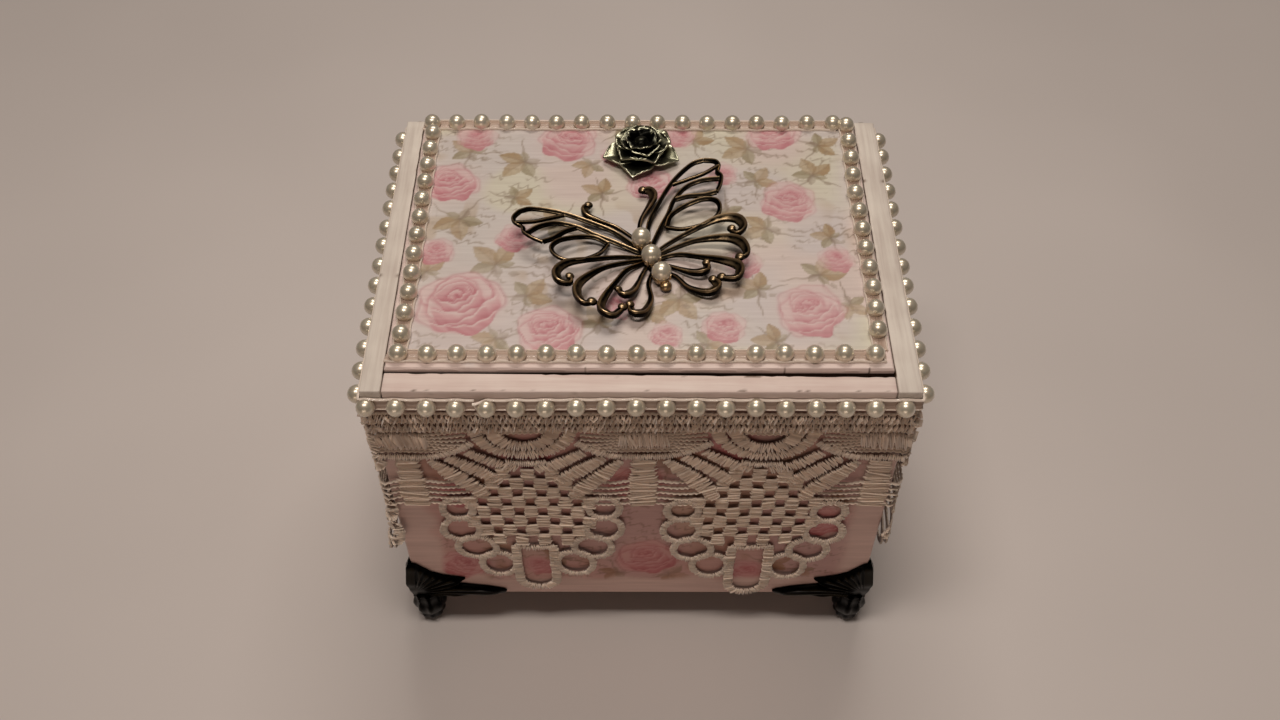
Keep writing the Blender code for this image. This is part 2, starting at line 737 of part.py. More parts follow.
def butterfly_grid():
    steps = math.ceil((BUTTERFLY_HALF_SPAN + BUTTERFLY_BAR) / BUTTERFLY_CELL) + 2
    cells = np.arange(-steps, steps + 1) * BUTTERFLY_CELL
    x, y = np.meshgrid(cells, cells, indexing="ij")
    across, shape = np.abs(x), bar_distance(drawn(BODY_LINE), x, y) - BUTTERFLY_BODY_HALF_WIDTH
    knob_x, knob_y = drawn(TAIL_KNOB)[0]
    shape = np.minimum(shape, np.hypot(x - knob_x, y - knob_y) - TAIL_KNOB_RADIUS * DRAWN_SCALE)
    for name, bar in WING_BARS.items():
        line = smooth_line(drawn(bar))
        shape = filleted(shape, bar_distance(line, across, y) - BUTTERFLY_BAR / 2, BUTTERFLY_FILLET)
        if name in BAR_ENDS:
            ball_radius = BAR_ENDS[name] * DRAWN_SCALE
            ball = np.hypot(across - line[-1][0], y - line[-1][1]) - ball_radius
            shape = filleted(shape, ball, BUTTERFLY_FILLET)
    return cells, shape


def butterfly_place(x, y, z):
    """From the charm's own plan to the lid, with the wings lifted."""
    turn = math.radians(BUTTERFLY_TURN_DEG)
    across, ahead = (math.cos(turn), math.sin(turn)), (-math.sin(turn), math.cos(turn))
    return Vector(
        (
            BUTTERFLY_X + x * across[0] + y * ahead[0],
            BUTTERFLY_Y + x * across[1] + y * ahead[1],
            LID_TOP + TOUCH_GAP + z + BUTTERFLY_RISE * max(abs(x) - BUTTERFLY_BODY_HALF_WIDTH, 0),
        )
    )


def build_butterfly(brass):
    cells, shape = butterfly_grid()
    loops = [simplified(loop, BUTTERFLY_TOLERANCE) for loop in outlines_of(shape, cells, cells)]
    smallest = BUTTERFLY_BAR**2 / 2
    bm = cut_plate([loop for loop in loops if loop_area(loop) > smallest])
    crease(bm, BUTTERFLY_BODY_HALF_WIDTH)
    crease(bm, -BUTTERFLY_BODY_HALF_WIDTH)
    for vertex in bm.verts:
        x, y, layer = vertex.co
        vertex.co = butterfly_place(x, y, layer * BUTTERFLY_THICKNESS)
    add_object("butterfly", bm, brass, smooth_angle_deg=30)


def loop_area(loop):
    pairs = zip(loop, loop[1:] + loop[:1])
    return abs(sum(x0 * y1 - x1 * y0 for (x0, y0), (x1, y1) in pairs)) / 2


def build_body_pearls(pearl):
    """Three whole pearls in a row on the butterfly's body."""
    level = BUTTERFLY_THICKNESS + TOUCH_GAP + BODY_PEARL_RADIUS - BODY_PEARL_SINK
    for k, name in enumerate(("butterfly_pearl_tail", "butterfly_pearl_middle", "butterfly_pearl_head")):
        bm = bmesh.new()
        bmesh.ops.create_uvsphere(bm, u_segments=8, v_segments=6, radius=BODY_PEARL_RADIUS)
        centre = butterfly_place(0, BODY_PEARL_MIDDLE + (k - 1) * BODY_PEARL_SPACING, level)
        floor = level - BODY_PEARL_RADIUS + BODY_PEARL_SINK
        for vertex in bm.verts:
            vertex.co.z = max(vertex.co.z, floor - level)
            vertex.co += centre
        bmesh.ops.dissolve_limit(bm, angle_limit=0.001, verts=bm.verts, edges=bm.edges)
        add_object(name, bm, pearl, smooth_angle_deg=50)


# Rose


def rose_profile(radius_share, angle):
    """The rose's height, as a share of its whole, at a share of its radius."""
    petal = abs(math.cos(ROSE_PETALS * angle / 2))
    inner_petal = abs(math.sin(ROSE_PETALS * angle / 2))
    if radius_share < 0.16:
        return 1.0 - 2.2 * radius_share
    if radius_share < 0.36:
        return 0.62 + 1.2 * (radius_share - 0.16) + 0.06 * petal
    if radius_share < 0.66:
        return 0.34 + 0.9 * (radius_share - 0.36) + 0.08 * inner_petal
    return 0.20 + 0.45 * (radius_share - 0.66) + 0.06 * petal


def build_rose(pewter):
    """Petals in tiers round a bud, pointed at the rim."""
    bm = bmesh.new()
    around = 6 * ROSE_PETALS
    shares = (0.12, 0.17, 0.34, 0.38, 0.62, 0.68, 0.86, 1.0)
    rings = []
    for share in shares:
        ring = []
        for k in range(around):
            angle = math.tau * k / around
            point = abs(math.cos(ROSE_PETALS * angle / 2)) ** 0.7
            inner = abs(math.sin(ROSE_PETALS * angle / 2)) ** 0.7
            scallop = 0.80 + 0.20 * point if share > 0.66 else 0.90 + 0.10 * inner
            radius = ROSE_RADIUS * share * scallop
            turned = angle + math.radians(ROSE_TURN_DEG)
            height = ROSE_HEIGHT * rose_profile(share, angle)
            x, y = ROSE_X + radius * math.cos(turned), ROSE_Y + radius * math.sin(turned)
            ring.append(bm.verts.new((x, y, LID_TOP + TOUCH_GAP + height)))
        rings.append(ring)
    foot = [bm.verts.new((v.co.x, v.co.y, LID_TOP + TOUCH_GAP)) for v in rings[-1]]
    top = bm.verts.new((ROSE_X, ROSE_Y, LID_TOP + TOUCH_GAP + ROSE_HEIGHT))
    for inner, outer in zip(rings + [rings[-1]], rings[1:] + [foot]):
        for k in range(around):
            n = (k + 1) % around
            bm.faces.new([inner[k], outer[k], outer[n], inner[n]])
    for k in range(around):
        bm.faces.new([top, rings[0][k], rings[0][(k + 1) % around]])
    bm.faces.new(list(reversed(foot)))
    add_object("metal_rose", bm, pewter, smooth_angle_deg=30)


def main():
    clear_scene()
    wood = make_material("painted_wood", (0.72, 0.60, 0.57), 0.55)
    pearl = make_material("pearl", (0.80, 0.76, 0.66), 0.18)
    lace = make_material("lace", (0.74, 0.69, 0.62), 0.85)
    bronze = make_material("dark_bronze", (0.035, 0.030, 0.022), 0.35, 0.9)
    brass = make_material("antique_brass", (0.22, 0.16, 0.09), 0.32, 0.9)
    pewter = make_material("antique_pewter", (0.30, 0.29, 0.26), 0.30, 0.9)
    build_box(wood)
    build_frame(wood)
    build_lid(wood)
    build_lid_tapes(pearl)
    build_box_tape(pearl)
    build_lace(lace)
    build_feet(bronze)
    build_butterfly(brass)
    build_body_pearls(pearl)
    build_rose(pewter)


main()
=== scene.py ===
# %% [markdown]
# # A cigar box dressed as a keepsake
#
# The real object is a plain wooden cigar box. Someone painted it, pasted rose paper on it, glued lace
# and pearl tape round it, put four cast feet under it and set a butterfly and a rose on its lid. The
# solids from the CAD model give every piece its size and place. This lesson makes what the eye sees
# on top of them, one piece at a time, and lets each new piece stand for its plain solid.

# %% Load the solids
import math

import bpy
import numpy as np
from mathutils import Matrix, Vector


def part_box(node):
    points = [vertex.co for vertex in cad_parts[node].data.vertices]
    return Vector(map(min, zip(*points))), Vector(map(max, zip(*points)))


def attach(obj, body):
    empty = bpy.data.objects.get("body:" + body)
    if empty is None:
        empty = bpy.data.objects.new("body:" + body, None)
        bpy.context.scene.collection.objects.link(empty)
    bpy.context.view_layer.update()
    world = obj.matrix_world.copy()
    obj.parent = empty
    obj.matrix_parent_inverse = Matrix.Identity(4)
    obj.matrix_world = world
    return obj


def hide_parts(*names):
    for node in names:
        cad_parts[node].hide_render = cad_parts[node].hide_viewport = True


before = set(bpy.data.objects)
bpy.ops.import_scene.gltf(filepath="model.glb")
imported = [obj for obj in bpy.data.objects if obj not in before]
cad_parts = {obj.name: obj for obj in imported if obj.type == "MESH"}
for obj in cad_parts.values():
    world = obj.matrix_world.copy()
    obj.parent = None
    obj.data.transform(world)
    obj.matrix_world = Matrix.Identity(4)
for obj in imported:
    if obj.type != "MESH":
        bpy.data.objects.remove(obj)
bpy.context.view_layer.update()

print("solids:", len(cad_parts))

# %% [markdown]
# ## Working in millimetres
#
# A trinket box is small, so all drawing here is done in millimetres, and points are turned into
# metres when they become a mesh. Most places are read off the solids and not typed again, so most
# changes to the model carry through. The butterfly's place and the lengths of tape are typed.

# %% Sizes read off the solids
MM = 0.001


def box_of(*nodes):
    """The lowest and highest corner of some solids together, in millimetres."""
    corners = [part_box(node) for node in nodes]
    low = np.min([np.array(low) for low, high in corners], axis=0) / MM
    high = np.max([np.array(high) for low, high in corners], axis=0) / MM
    return low, high


def middle_of(node):
    """The middle of a solid's box."""
    low, high = box_of(node)
    return (low + high) / 2


wall_low, wall_high = box_of("front_wall", "back_wall", "left_wall", "right_wall")
frame_low, frame_high = box_of("left_stile", "right_stile", "front_rail")
lid_low, lid_high = box_of("lid")
FRAME_TOP = frame_high[2]
LID_TOP = lid_high[2]
print("walls", wall_high - wall_low, "frame top", FRAME_TOP, "lid top", LID_TOP)

# %% [markdown]
# ## The photographer's place
#
# The picture was taken from in front and above. The camera stands where the four corners of the
# frame line up with the photograph, so the render can be laid over it.

# %% Camera
CAMERA_PLACE = (-1.83, -276.43, FRAME_TOP + 276.63)
LOOKS_DOWN = math.radians(50.35)
LOOKS_RIGHT = math.radians(0.37)
LEANS = math.radians(-0.41)
LENS_MM = 34.98
SENSOR_MM = 36


def aim(down, right, lean):
    """The camera's turn: it looks along its own -Z, with +Y up the picture."""
    ahead = np.array([math.sin(right) * math.cos(down), math.cos(right) * math.cos(down), -math.sin(down)])
    level = np.array([math.cos(right), -math.sin(right), 0.0])
    below = np.cross(ahead, level)
    side = math.cos(lean) * level + math.sin(lean) * below
    foot = -math.sin(lean) * level + math.cos(lean) * below
    return Matrix(np.column_stack([side, -foot, -ahead]).tolist())


camera_data = bpy.data.cameras.new("camera")
camera_data.lens = LENS_MM
camera_data.sensor_width = SENSOR_MM
camera_data.clip_start = 0.01
camera = bpy.data.objects.new("camera", camera_data)
bpy.context.scene.collection.objects.link(camera)
camera_turn = aim(LOOKS_DOWN, LOOKS_RIGHT, LEANS).to_4x4()
camera.matrix_world = Matrix.Translation([p * MM for p in CAMERA_PLACE]) @ camera_turn
bpy.context.scene.camera = camera
print("camera at", [round(p) for p in CAMERA_PLACE])

# %% [markdown]
# ## Light and floor
#
# The room's lamps hang over the box and behind it. So the lid is bright, the pearls carry their
# sparkle on top, and the front lies in warm shade. Here one soft lamp hangs behind and above the box,
# and one almost straight above it. A weak, warm one stands low in front, for the light that the room
# throws back. A faint sky fills the shadows, and the floor is plain and pale.


# %% Lamps, sky and floor
def add_lamp(name, place, target, size, watts, colour):
    """A soft lamp that shines at its target. Its place, target and size are in metres."""
    light = bpy.data.lights.new(name, "AREA")
    light.shape = "RECTANGLE"
    light.size, light.size_y = size
    light.energy = watts
    light.color = colour
    lamp = bpy.data.objects.new(name, light)
    bpy.context.scene.collection.objects.link(lamp)
    lamp.location = place
    away = np.array(place) - np.array(target)
    lamp.rotation_mode = "QUATERNION"
    from_z = np.array([0.0, 0.0, 1.0])
    axis = np.cross(from_z, away)
    turn = math.acos(float(away[2] / np.linalg.norm(away)))
    lamp.rotation_quaternion = Matrix.Rotation(turn, 3, axis.tolist()).to_quaternion()
    print(name, "of", watts, "watts")


add_lamp("ceiling_lamp", (0.04, 0.46, 0.95), (0, 0, 0.1), (0.52, 0.24), 3.2, (1.0, 0.91, 0.81))
add_lamp("overhead_lamp", (-0.09, -0.15, 0.98), (0, -0.05, 0.1), (0.42, 0.14), 3.3, (1.0, 0.89, 0.79))
add_lamp("room_lamp", (-0.20, -1.28, 0.27), (0, -0.05, 0.1), (0.80, 0.30), 1.5, (1.0, 0.80, 0.66))

world = bpy.data.worlds.new("room")
bpy.context.scene.world = world
world.use_nodes = True
sky = world.node_tree.nodes["Background"]
sky.inputs["Color"].default_value = (0.80, 0.65, 0.545, 1)
sky.inputs["Strength"].default_value = 0.07
bpy.context.scene.view_settings.view_transform = "Standard"

# %% [markdown]
# ## Making materials
#
# Every finish starts from the Principled shader. A few helpers wire the nodes: a noise stretched
# along one axis makes grain and brush marks, and a colour ramp turns a number into colours. All
# patterns read Object coordinates or an attribute of the mesh, so they stay put from every side.


# %% A material and its nodes
def new_material(name, roughness, metallic=0.0, coat=0.0):
    material = bpy.data.materials.new(name)
    material.use_nodes = True
    shader = material.node_tree.nodes["Principled BSDF"]
    shader.inputs["Roughness"].default_value = roughness
    shader.inputs["Metallic"].default_value = metallic
    shader.inputs["Coat Weight"].default_value = coat
    return material


def add_node(material, kind, values=None, **settings):
    """A node with its inputs set by name, and its settings by keyword."""
    node = material.node_tree.nodes.new(kind)
    for key, value in settings.items():
        setattr(node, key, value)
    for key, value in (values or {}).items():
        node.inputs[key].default_value = value
    return node


def link(material, out, into):
    material.node_tree.links.new(out, into)


def shader_of(material):
    return material.node_tree.nodes["Principled BSDF"]


# %% Patterns and mixes
def stretched_noise(material, scale, stretch=(1, 1, 1), detail=3, roughness=0.55):
    """A noise over the object's own coordinates, in patches longer where stretch is under one."""
    place = add_node(material, "ShaderNodeTexCoord")
    mapping = add_node(material, "ShaderNodeMapping", {"Scale": stretch})
    settings = {"Scale": scale, "Detail": detail, "Roughness": roughness}
    noise = add_node(material, "ShaderNodeTexNoise", settings)
    link(material, place.outputs["Object"], mapping.inputs["Vector"])
    link(material, mapping.outputs["Vector"], noise.inputs["Vector"])
    return noise.outputs["Fac"]


def ramp_of(material, value, stops):
    """A colour ramp over a number: stops are (place, colour)."""
    ramp = add_node(material, "ShaderNodeValToRGB")
    while len(ramp.color_ramp.elements) < len(stops):
        ramp.color_ramp.elements.new(0.5)
    for element, (place, colour) in zip(ramp.color_ramp.elements, stops):
        element.position = place
        element.color = (*colour, 1)
    link(material, value, ramp.inputs["Fac"])
    return ramp.outputs["Color"]


def mix_colours(material, amount, one, other, blend="MIX"):
    """A mix of two colours. The node has them in its inputs 6 and 7 and the result in its output 2."""
    mix = add_node(material, "ShaderNodeMix", data_type="RGBA", blend_type=blend)
    for source, socket in ((amount, mix.inputs[0]), (one, mix.inputs[6]), (other, mix.inputs[7])):
        if isinstance(source, bpy.types.NodeSocket):
            link(material, source, socket)
        else:
            socket.default_value = source
    return mix.outputs[2]


def attribute_of(material, name, output="Fac"):
    return add_node(material, "ShaderNodeAttribute", attribute_name=name).outputs[output]


# %% Colour and bumps
def colour_with(material, colour):
    link(material, colour, shader_of(material).inputs["Base Color"])


def bump_with(material, height, strength, distance_mm):
    """Light breaks on the surface as if the number were a height."""
    bump = add_node(material, "ShaderNodeBump", {"Strength": strength, "Distance": distance_mm * MM})
    link(material, height, bump.inputs["Height"])
    link(material, bump.outputs["Normal"], shader_of(material).inputs["Normal"])


def linear(colour):
    """A colour as it looks on a screen, made ready for the shader."""
    return tuple(((c + 0.055) / 1.055) ** 2.4 if c > 0.04 else c / 12.92 for c in colour)


print("half grey on a screen is", round(linear((0.5,))[0], 3), "in the shader")

# %% [markdown]
# The floor is one large plane in a pale, slightly uneven paint. It is there for the picture only and
# is no piece of the box.

# %% Floor
FLOOR_METRES = 6
FLOOR_SHADES = ((0.3, linear((0.83, 0.80, 0.79))), (0.7, linear((0.86, 0.83, 0.82))))
floor_paint = new_material("floor_paint", 0.55)
floor_tone = stretched_noise(floor_paint, 5, detail=2)
colour_with(floor_paint, ramp_of(floor_paint, floor_tone, FLOOR_SHADES))
bpy.ops.mesh.primitive_plane_add(size=FLOOR_METRES)
floor = bpy.context.object
floor.name = "floor"
floor.data.materials.append(floor_paint)
print("floor of", FLOOR_METRES, "metres")

# %% [markdown]
# ## Making pieces
#
# The boards are made on a bench at the origin, then set in place, with their turn and place written
# into the mesh. The other pieces are worked out as points where they belong. These helpers serve both
# ways, and hand each piece its material and the solid it stands for.


# %% Pick a piece and read it
def take(piece):
    """Select this piece and nothing else."""
    if bpy.context.object and bpy.context.object.mode != "OBJECT":
        bpy.ops.object.mode_set(mode="OBJECT")
    bpy.ops.object.select_all(action="DESELECT")
    piece.select_set(True)
    bpy.context.view_layer.objects.active = piece


def points_of(piece):
    """The piece's points as an array, in millimetres."""
    flat = np.zeros(len(piece.data.vertices) * 3)
    piece.data.vertices.foreach_get("co", flat)
    return flat.reshape(-1, 3) / MM


def set_points(piece, points):
    piece.data.vertices.foreach_set("co", (points * MM).ravel())
    piece.data.update()


def faces_of(piece):
    return [list(face.vertices) for face in piece.data.polygons]


# %% Build a piece
def piece_from(name, points, faces):
    """A new object from points in millimetres and lists of point numbers."""
    mesh = bpy.data.meshes.new(name)
    mesh.from_pydata((np.asarray(points) * MM).tolist(), [], faces)
    piece = bpy.data.objects.new(name, mesh)
    bpy.context.scene.collection.objects.link(piece)
    return piece


def joined(parts):
    """Several (points, faces) as one."""
    points, faces, first = [], [], 0
    for part_points, part_faces in parts:
        points.append(np.asarray(part_points, float))
        faces += [[first + i for i in face] for face in part_faces]
        first += len(part_points)
    return np.vstack(points), faces


def face_outwards(piece):
    """Turn every face so that its front looks out of the piece."""
    take(piece)
    bpy.ops.object.mode_set(mode="EDIT")
    bpy.ops.mesh.select_all(action="SELECT")
    bpy.ops.mesh.normals_make_consistent(inside=False)
    bpy.ops.object.mode_set(mode="OBJECT")


# %% Dress a piece
def dress(piece, material, slot, *nodes, smooth_deg):
    """The last step for a piece: material, shading, and the solid that it stands for."""
    take(piece)
    bpy.ops.object.transform_apply(location=True, rotation=True, scale=True)
    if not piece.data.materials:
        piece.data.materials.append(material)
    bpy.ops.object.shade_smooth_by_angle(angle=math.radians(smooth_deg))
    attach(piece, "root")
    if nodes:
        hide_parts(*nodes)
    piece.data.calc_loop_triangles()
    print(piece.name, len(piece.data.loop_triangles), "triangles")


def give_number(piece, name, values):
    """One number for each point, for the material to read."""
    attribute = piece.data.attributes.new(name, "FLOAT", "POINT")
    attribute.data.foreach_set("value", np.asarray(values, np.float32))


# %% [markdown]
# Tapes, cords and bars are drawn as a path and a section that is carried along it. A path is given by
# a few points, and a smooth curve is laid through them and divided evenly.


# %% Smooth lines
def smooth_path(points, spacing):
    """A smooth curve through given points, with a point every spacing millimetres."""
    knots = np.array(points, float)
    knots = np.vstack([2 * knots[0] - knots[1], knots, 2 * knots[-1] - knots[-2]])
    t = np.linspace(0, 1, 12, endpoint=False)[:, None]
    curve = []
    for before, start, end, after in zip(knots, knots[1:], knots[2:], knots[3:]):
        bend = 2 * before - 5 * start + 4 * end - after
        twist = 3 * start - before - 3 * end + after
        curve.append(0.5 * (2 * start + (end - before) * t + bend * t**2 + twist * t**3))
    return evenly(np.vstack(curve + [knots[-2:-1]]), spacing)


def evenly(line, spacing):
    """The same line with its points evenly spaced."""
    lengths = np.linalg.norm(np.diff(line, axis=0), axis=1)
    along = np.concatenate([[0], np.cumsum(lengths)])
    count = max(2, round(along[-1] / spacing) + 1)
    wanted = np.linspace(0, along[-1], count)
    return np.column_stack([np.interp(wanted, along, line[:, k]) for k in range(line.shape[1])])


def headings(line):
    """The direction of a line at each of its points."""
    ahead = np.gradient(line, axis=0)
    return ahead / np.linalg.norm(ahead, axis=1)[:, None]


# %% Skins and sweeps
def skin_faces(rings, corners, endless=False):
    """Faces between rings of points that follow each other, with lids at both ends or endless."""
    faces = []
    for i in range(rings if endless else rings - 1):
        a, b = i * corners, (i + 1) % rings * corners
        faces += [[a + k, a + (k + 1) % corners, b + (k + 1) % corners, b + k] for k in range(corners)]
    if not endless:
        last = (rings - 1) * corners
        faces += [list(range(corners))[::-1], [last + k for k in range(corners)]]
    return faces


def sweep(line, profile, widths):
    """A profile of (across, up) points carried along a line of three-dimensional points."""
    ahead = headings(line)
    across = np.cross(ahead, [0, 0, 1])
    across /= np.linalg.norm(across, axis=1)[:, None]
    up = np.cross(across, ahead)
    widths = widths[:, None, None]
    rings = line[:, None] + widths * profile[None, :, :1] * across[:, None]
    rings = rings + widths * profile[None, :, 1:] * up[:, None]
    return rings.reshape(-1, 3), skin_faces(len(line), len(profile))


print("five rings of four corners make", len(skin_faces(5, 4)), "faces")

# %% [markdown]
# ## Painting with numbers
#
# The lid and the walls carry rose paper under varnish. No picture is loaded for it: functions work
# out the colour of each point of a fine grid, and the colour is stored on the mesh as an attribute.
# The roses here are a design of our own, in the soft pinks, tans and creams of such papers.


# %% Soft patches and steps
def cloud(u, v, size, seed):
    """Soft random patches between 0 and 1, about as wide as size."""
    cells = 64
    grid = np.random.default_rng(seed).random((cells, cells))
    x, y = np.asarray(u) / size + 1000, np.asarray(v) / size + 1000
    i, j = np.floor(x).astype(int), np.floor(y).astype(int)
    fx, fy = x - i, y - j
    fx, fy = fx * fx * (3 - 2 * fx), fy * fy * (3 - 2 * fy)
    near = grid[i % cells, j % cells] * (1 - fx) + grid[(i + 1) % cells, j % cells] * fx
    far = grid[i % cells, (j + 1) % cells] * (1 - fx) + grid[(i + 1) % cells, (j + 1) % cells] * fx
    return near * (1 - fy) + far * fy


def ease(low, high, value):
    """0 below low, 1 above high, and a smooth step between."""
    t = np.clip((value - low) / (high - low), 0, 1)
    return t * t * (3 - 2 * t)


def bell(value, width):
    """1 where the value is 0, and near 0 at twice the width on both sides."""
    return np.exp(-((value / width) ** 2))


def turned(du, dv, angle):
    """The same offsets, measured along a direction and to its left."""
    c, s = math.cos(angle), math.sin(angle)
    return du * c + dv * s, dv * c - du * s


def laid_over(colour, over, amount):
    """One colour over another, as strong as amount says."""
    return colour + (np.asarray(over) - colour) * np.asarray(amount)[..., None]


print("a step from 0 to 1 at its quarters:", ease(0, 1, np.array([0.25, 0.50, 0.75])))

# %% Colours of the print
CREAM = (0.860, 0.818, 0.748)
BLUSH = (0.870, 0.775, 0.765)
LILAC = (0.835, 0.780, 0.790)
ROSE_DEEP = (0.735, 0.385, 0.440)
ROSE_MIDDLE_TONE = (0.835, 0.590, 0.620)
ROSE_PALE = (0.890, 0.760, 0.765)
LEAF_TAN = (0.600, 0.445, 0.265)
LEAF_OLIVE = (0.490, 0.415, 0.270)
SEPIA = (0.430, 0.330, 0.250)
print("pinks of a rose:", ROSE_DEEP, ROSE_MIDDLE_TONE, ROSE_PALE)

# %% [markdown]
# A printed rose is seen from a little above. It has petals behind, a heart wound tight, and petals in
# front whose rims catch the light. Each petal is laid over the ones before it, as a painter would.
# Below, the rose is one unit wide on each side of its middle, so all sizes are shares of its radius.


# %% Petals of a rose
# Direction, distance, size and tone of the petals behind the heart, from the outside in
BACK_PETALS = (
    (-20, 0.46, 0.58, 0.45), (200, 0.48, 0.56, 0.40), (62, 0.50, 0.54, 0.62), (122, 0.48, 0.56, 0.50),
    (10, 0.36, 0.46, 0.62), (165, 0.38, 0.47, 0.70), (88, 0.36, 0.44, 0.42),
)
HEART_PETALS = 5
# Centre across, height of the rim, half width, bow of the rim and tone of the petals in front of the heart
FRONT_PETALS = (
    (0.04, 0.22, 0.36, 0.16, 0.55), (-0.10, 0.10, 0.50, 0.22, 0.85), (0.16, -0.06, 0.56, 0.24, 0.70),
    (-0.14, -0.22, 0.70, 0.26, 0.90), (0.20, -0.40, 0.74, 0.22, 0.55), (-0.10, -0.62, 0.72, 0.16, 0.35),
)


def rose_tone(shape, light):
    """From deep pink at 0 through middle pink to pale pink at 1."""
    tone = laid_over(np.ones(shape + (3,)) * ROSE_DEEP, ROSE_MIDDLE_TONE, ease(0.0, 0.5, light))
    return laid_over(tone, ROSE_PALE, ease(0.35, 1.0, light))


# %% A petal behind and a petal in front
def paint_back_petal(patch, across, up, angle, offset, size, tone, strength):
    """A petal behind the heart: pale at its far rim, deep where it goes down into the rose."""
    outwards, sideways = turned(across, up, angle)
    outwards, sideways = (outwards - offset) / size, sideways / (size * 1.2)
    around_it = np.arctan2(sideways, outwards)
    waves = 0.07 * np.sin(3 * around_it + 9 * tone) + 0.04 * np.sin(7 * around_it + 20 * tone)
    away = np.hypot(outwards, sideways) * (1 + waves)
    patch = laid_over(patch, ROSE_DEEP, 0.35 * strength * bell(away - 1.0, 0.10))
    light = tone + 0.42 * outwards + 0.30 * bell(away - 0.93, 0.05)
    return laid_over(patch, rose_tone(across.shape, light), ease(1.0, 0.94, away) * strength)


def paint_front_petal(patch, across, up, centre, rim, half_width, bow, tone, reach, strength):
    """A petal in front: a bright rim that bows upwards, and a face that deepens downwards."""
    share = (across - centre) / half_width
    edge = rim + bow * share**2 * (1 + 0.35 * share) + 0.025 * np.sin(11 * share + 8 * tone)
    below = edge - up
    cover = ease(-0.015, 0.02, below) * ease(1.06, 0.94, np.abs(share)) * ease(1.0, 0.93, reach)
    shadow = bell(below, 0.10) * (below < 0) * ease(1.05, 0.8, np.abs(share)) * ease(1.0, 0.9, reach)
    patch = laid_over(patch, ROSE_DEEP, 0.60 * strength * shadow)
    light = tone * np.exp(-np.maximum(below, 0) / 0.42) + 0.10 - 0.22 * share**2
    light = light + 0.05 * np.sin(13 * share + 9 * below) + 0.55 * bell(below - 0.02, 0.028)
    return laid_over(patch, rose_tone(across.shape, light), cover * strength)


# %% One rose
def paint_rose(colour, u, v, x, y, radius, strength, seed):
    """One rose, turned, leaning and wavy in its own way."""
    rng = np.random.default_rng(seed)
    halo = np.exp(-((np.hypot(u - x, v - y) / (radius * 1.25)) ** 4))
    colour[:] = laid_over(colour, BLUSH, 0.75 * strength * halo)
    near = np.hypot(u - x, v - y) < radius * 1.4
    wander = 0.15 * (cloud(u[near], v[near], radius / 1.6, seed) - 0.5)
    lean = rng.uniform(-0.6, 0.6)
    flip = rng.choice((-1, 1))
    du, dv = (u[near] - x) / radius * flip, (v[near] - y) / radius
    across, up = turned(du, dv, lean)
    across, up = across + wander, up - wander
    turn = np.arctan2(up, across)
    lobes = 1 + 0.07 * np.sin(5 * turn + seed) + 0.05 * np.sin(8 * turn + 2 * seed)
    reach = np.hypot(across, up * 1.06) / (0.97 * lobes)
    patch = colour[near]
    for direction, offset, size, tone in BACK_PETALS:
        angle = math.radians(direction + rng.uniform(-14, 14))
        petal_size = size * rng.uniform(0.90, 1.08)
        patch = paint_back_petal(patch, across, up - 0.10, angle, offset, petal_size, tone, strength)
    for k in range(HEART_PETALS):
        size = 0.40 - 0.075 * k
        angle = rng.uniform(0, math.tau)
        tone = 0.35 + 0.12 * (k % 2)
        patch = paint_back_petal(patch, across - 0.03, up - 0.30, angle, size * 0.22, size, tone, strength)
    for centre, rim, half_width, bow, tone in FRONT_PETALS:
        centre += rng.uniform(-0.08, 0.08)
        rim += rng.uniform(-0.03, 0.03)
        tone += rng.uniform(-0.15, 0.1)
        patch = paint_front_petal(patch, across, up, centre, rim, half_width, bow, tone, reach, strength)
    colour[near] = patch


print("a rose has", len(BACK_PETALS) + HEART_PETALS + len(FRONT_PETALS), "petals")

# %% [markdown]
# Between the roses lie sprays: a few leaves and thin twigs from one point. A leaf is a shape along its
# rib with a saw edge, lighter on one half, and its veins and rim are drawn in sepia.


# %% A leaf
def paint_leaf(colour, u, v, x, y, length, angle, tint, strength):
    """A pointed leaf that starts at a point: one half lighter, a dark rib, and a darker saw edge."""
    near = np.hypot(u - x, v - y) < length * 1.15
    along, side = turned(u[near] - x, v[near] - y, angle)
    along = along / length
    side = side / (length * 0.29) - 0.55 * (along - 0.5) ** 2 + 0.12
    inside = (along > 0) & (along < 1)
    share = np.clip(along, 0, 1)
    width = np.sin(np.pi * share**0.85) ** 0.85 * (1 + 0.10 * np.abs(np.sin(17 * share + 4 * angle)))
    cover = ease(0.0, 0.16, width - np.abs(side)) * inside
    rim = bell(width - np.abs(side), 0.12) * inside
    veins = 0.5 * ease(0.5, 1.0, np.sin(24 * share - 6 * np.abs(side))) + bell(side, 0.07)
    light = 0.28 * ease(-0.1, 0.25, side) + 0.24 * cloud(u[near], v[near], length / 3, 5)
    dark = 0.28 * veins + 0.40 * rim + 0.25 * ease(0.35, 0.0, share)
    tone = laid_over(np.ones(share.shape + (3,)) * tint, CREAM, light)
    tone = laid_over(tone, SEPIA, np.clip(dark, 0, 1))
    colour[near] = laid_over(colour[near], tone, cover * strength)


# %% Twigs and sprays
TWIG_BENDS = (2.3, 3.9, 5.4)
# Turn from the spray's own direction, and share of its size
SPRAY_LEAVES = ((-1.15, 0.95), (1.25, 0.80), (0.05, 1.0), (-2.2, 0.55))


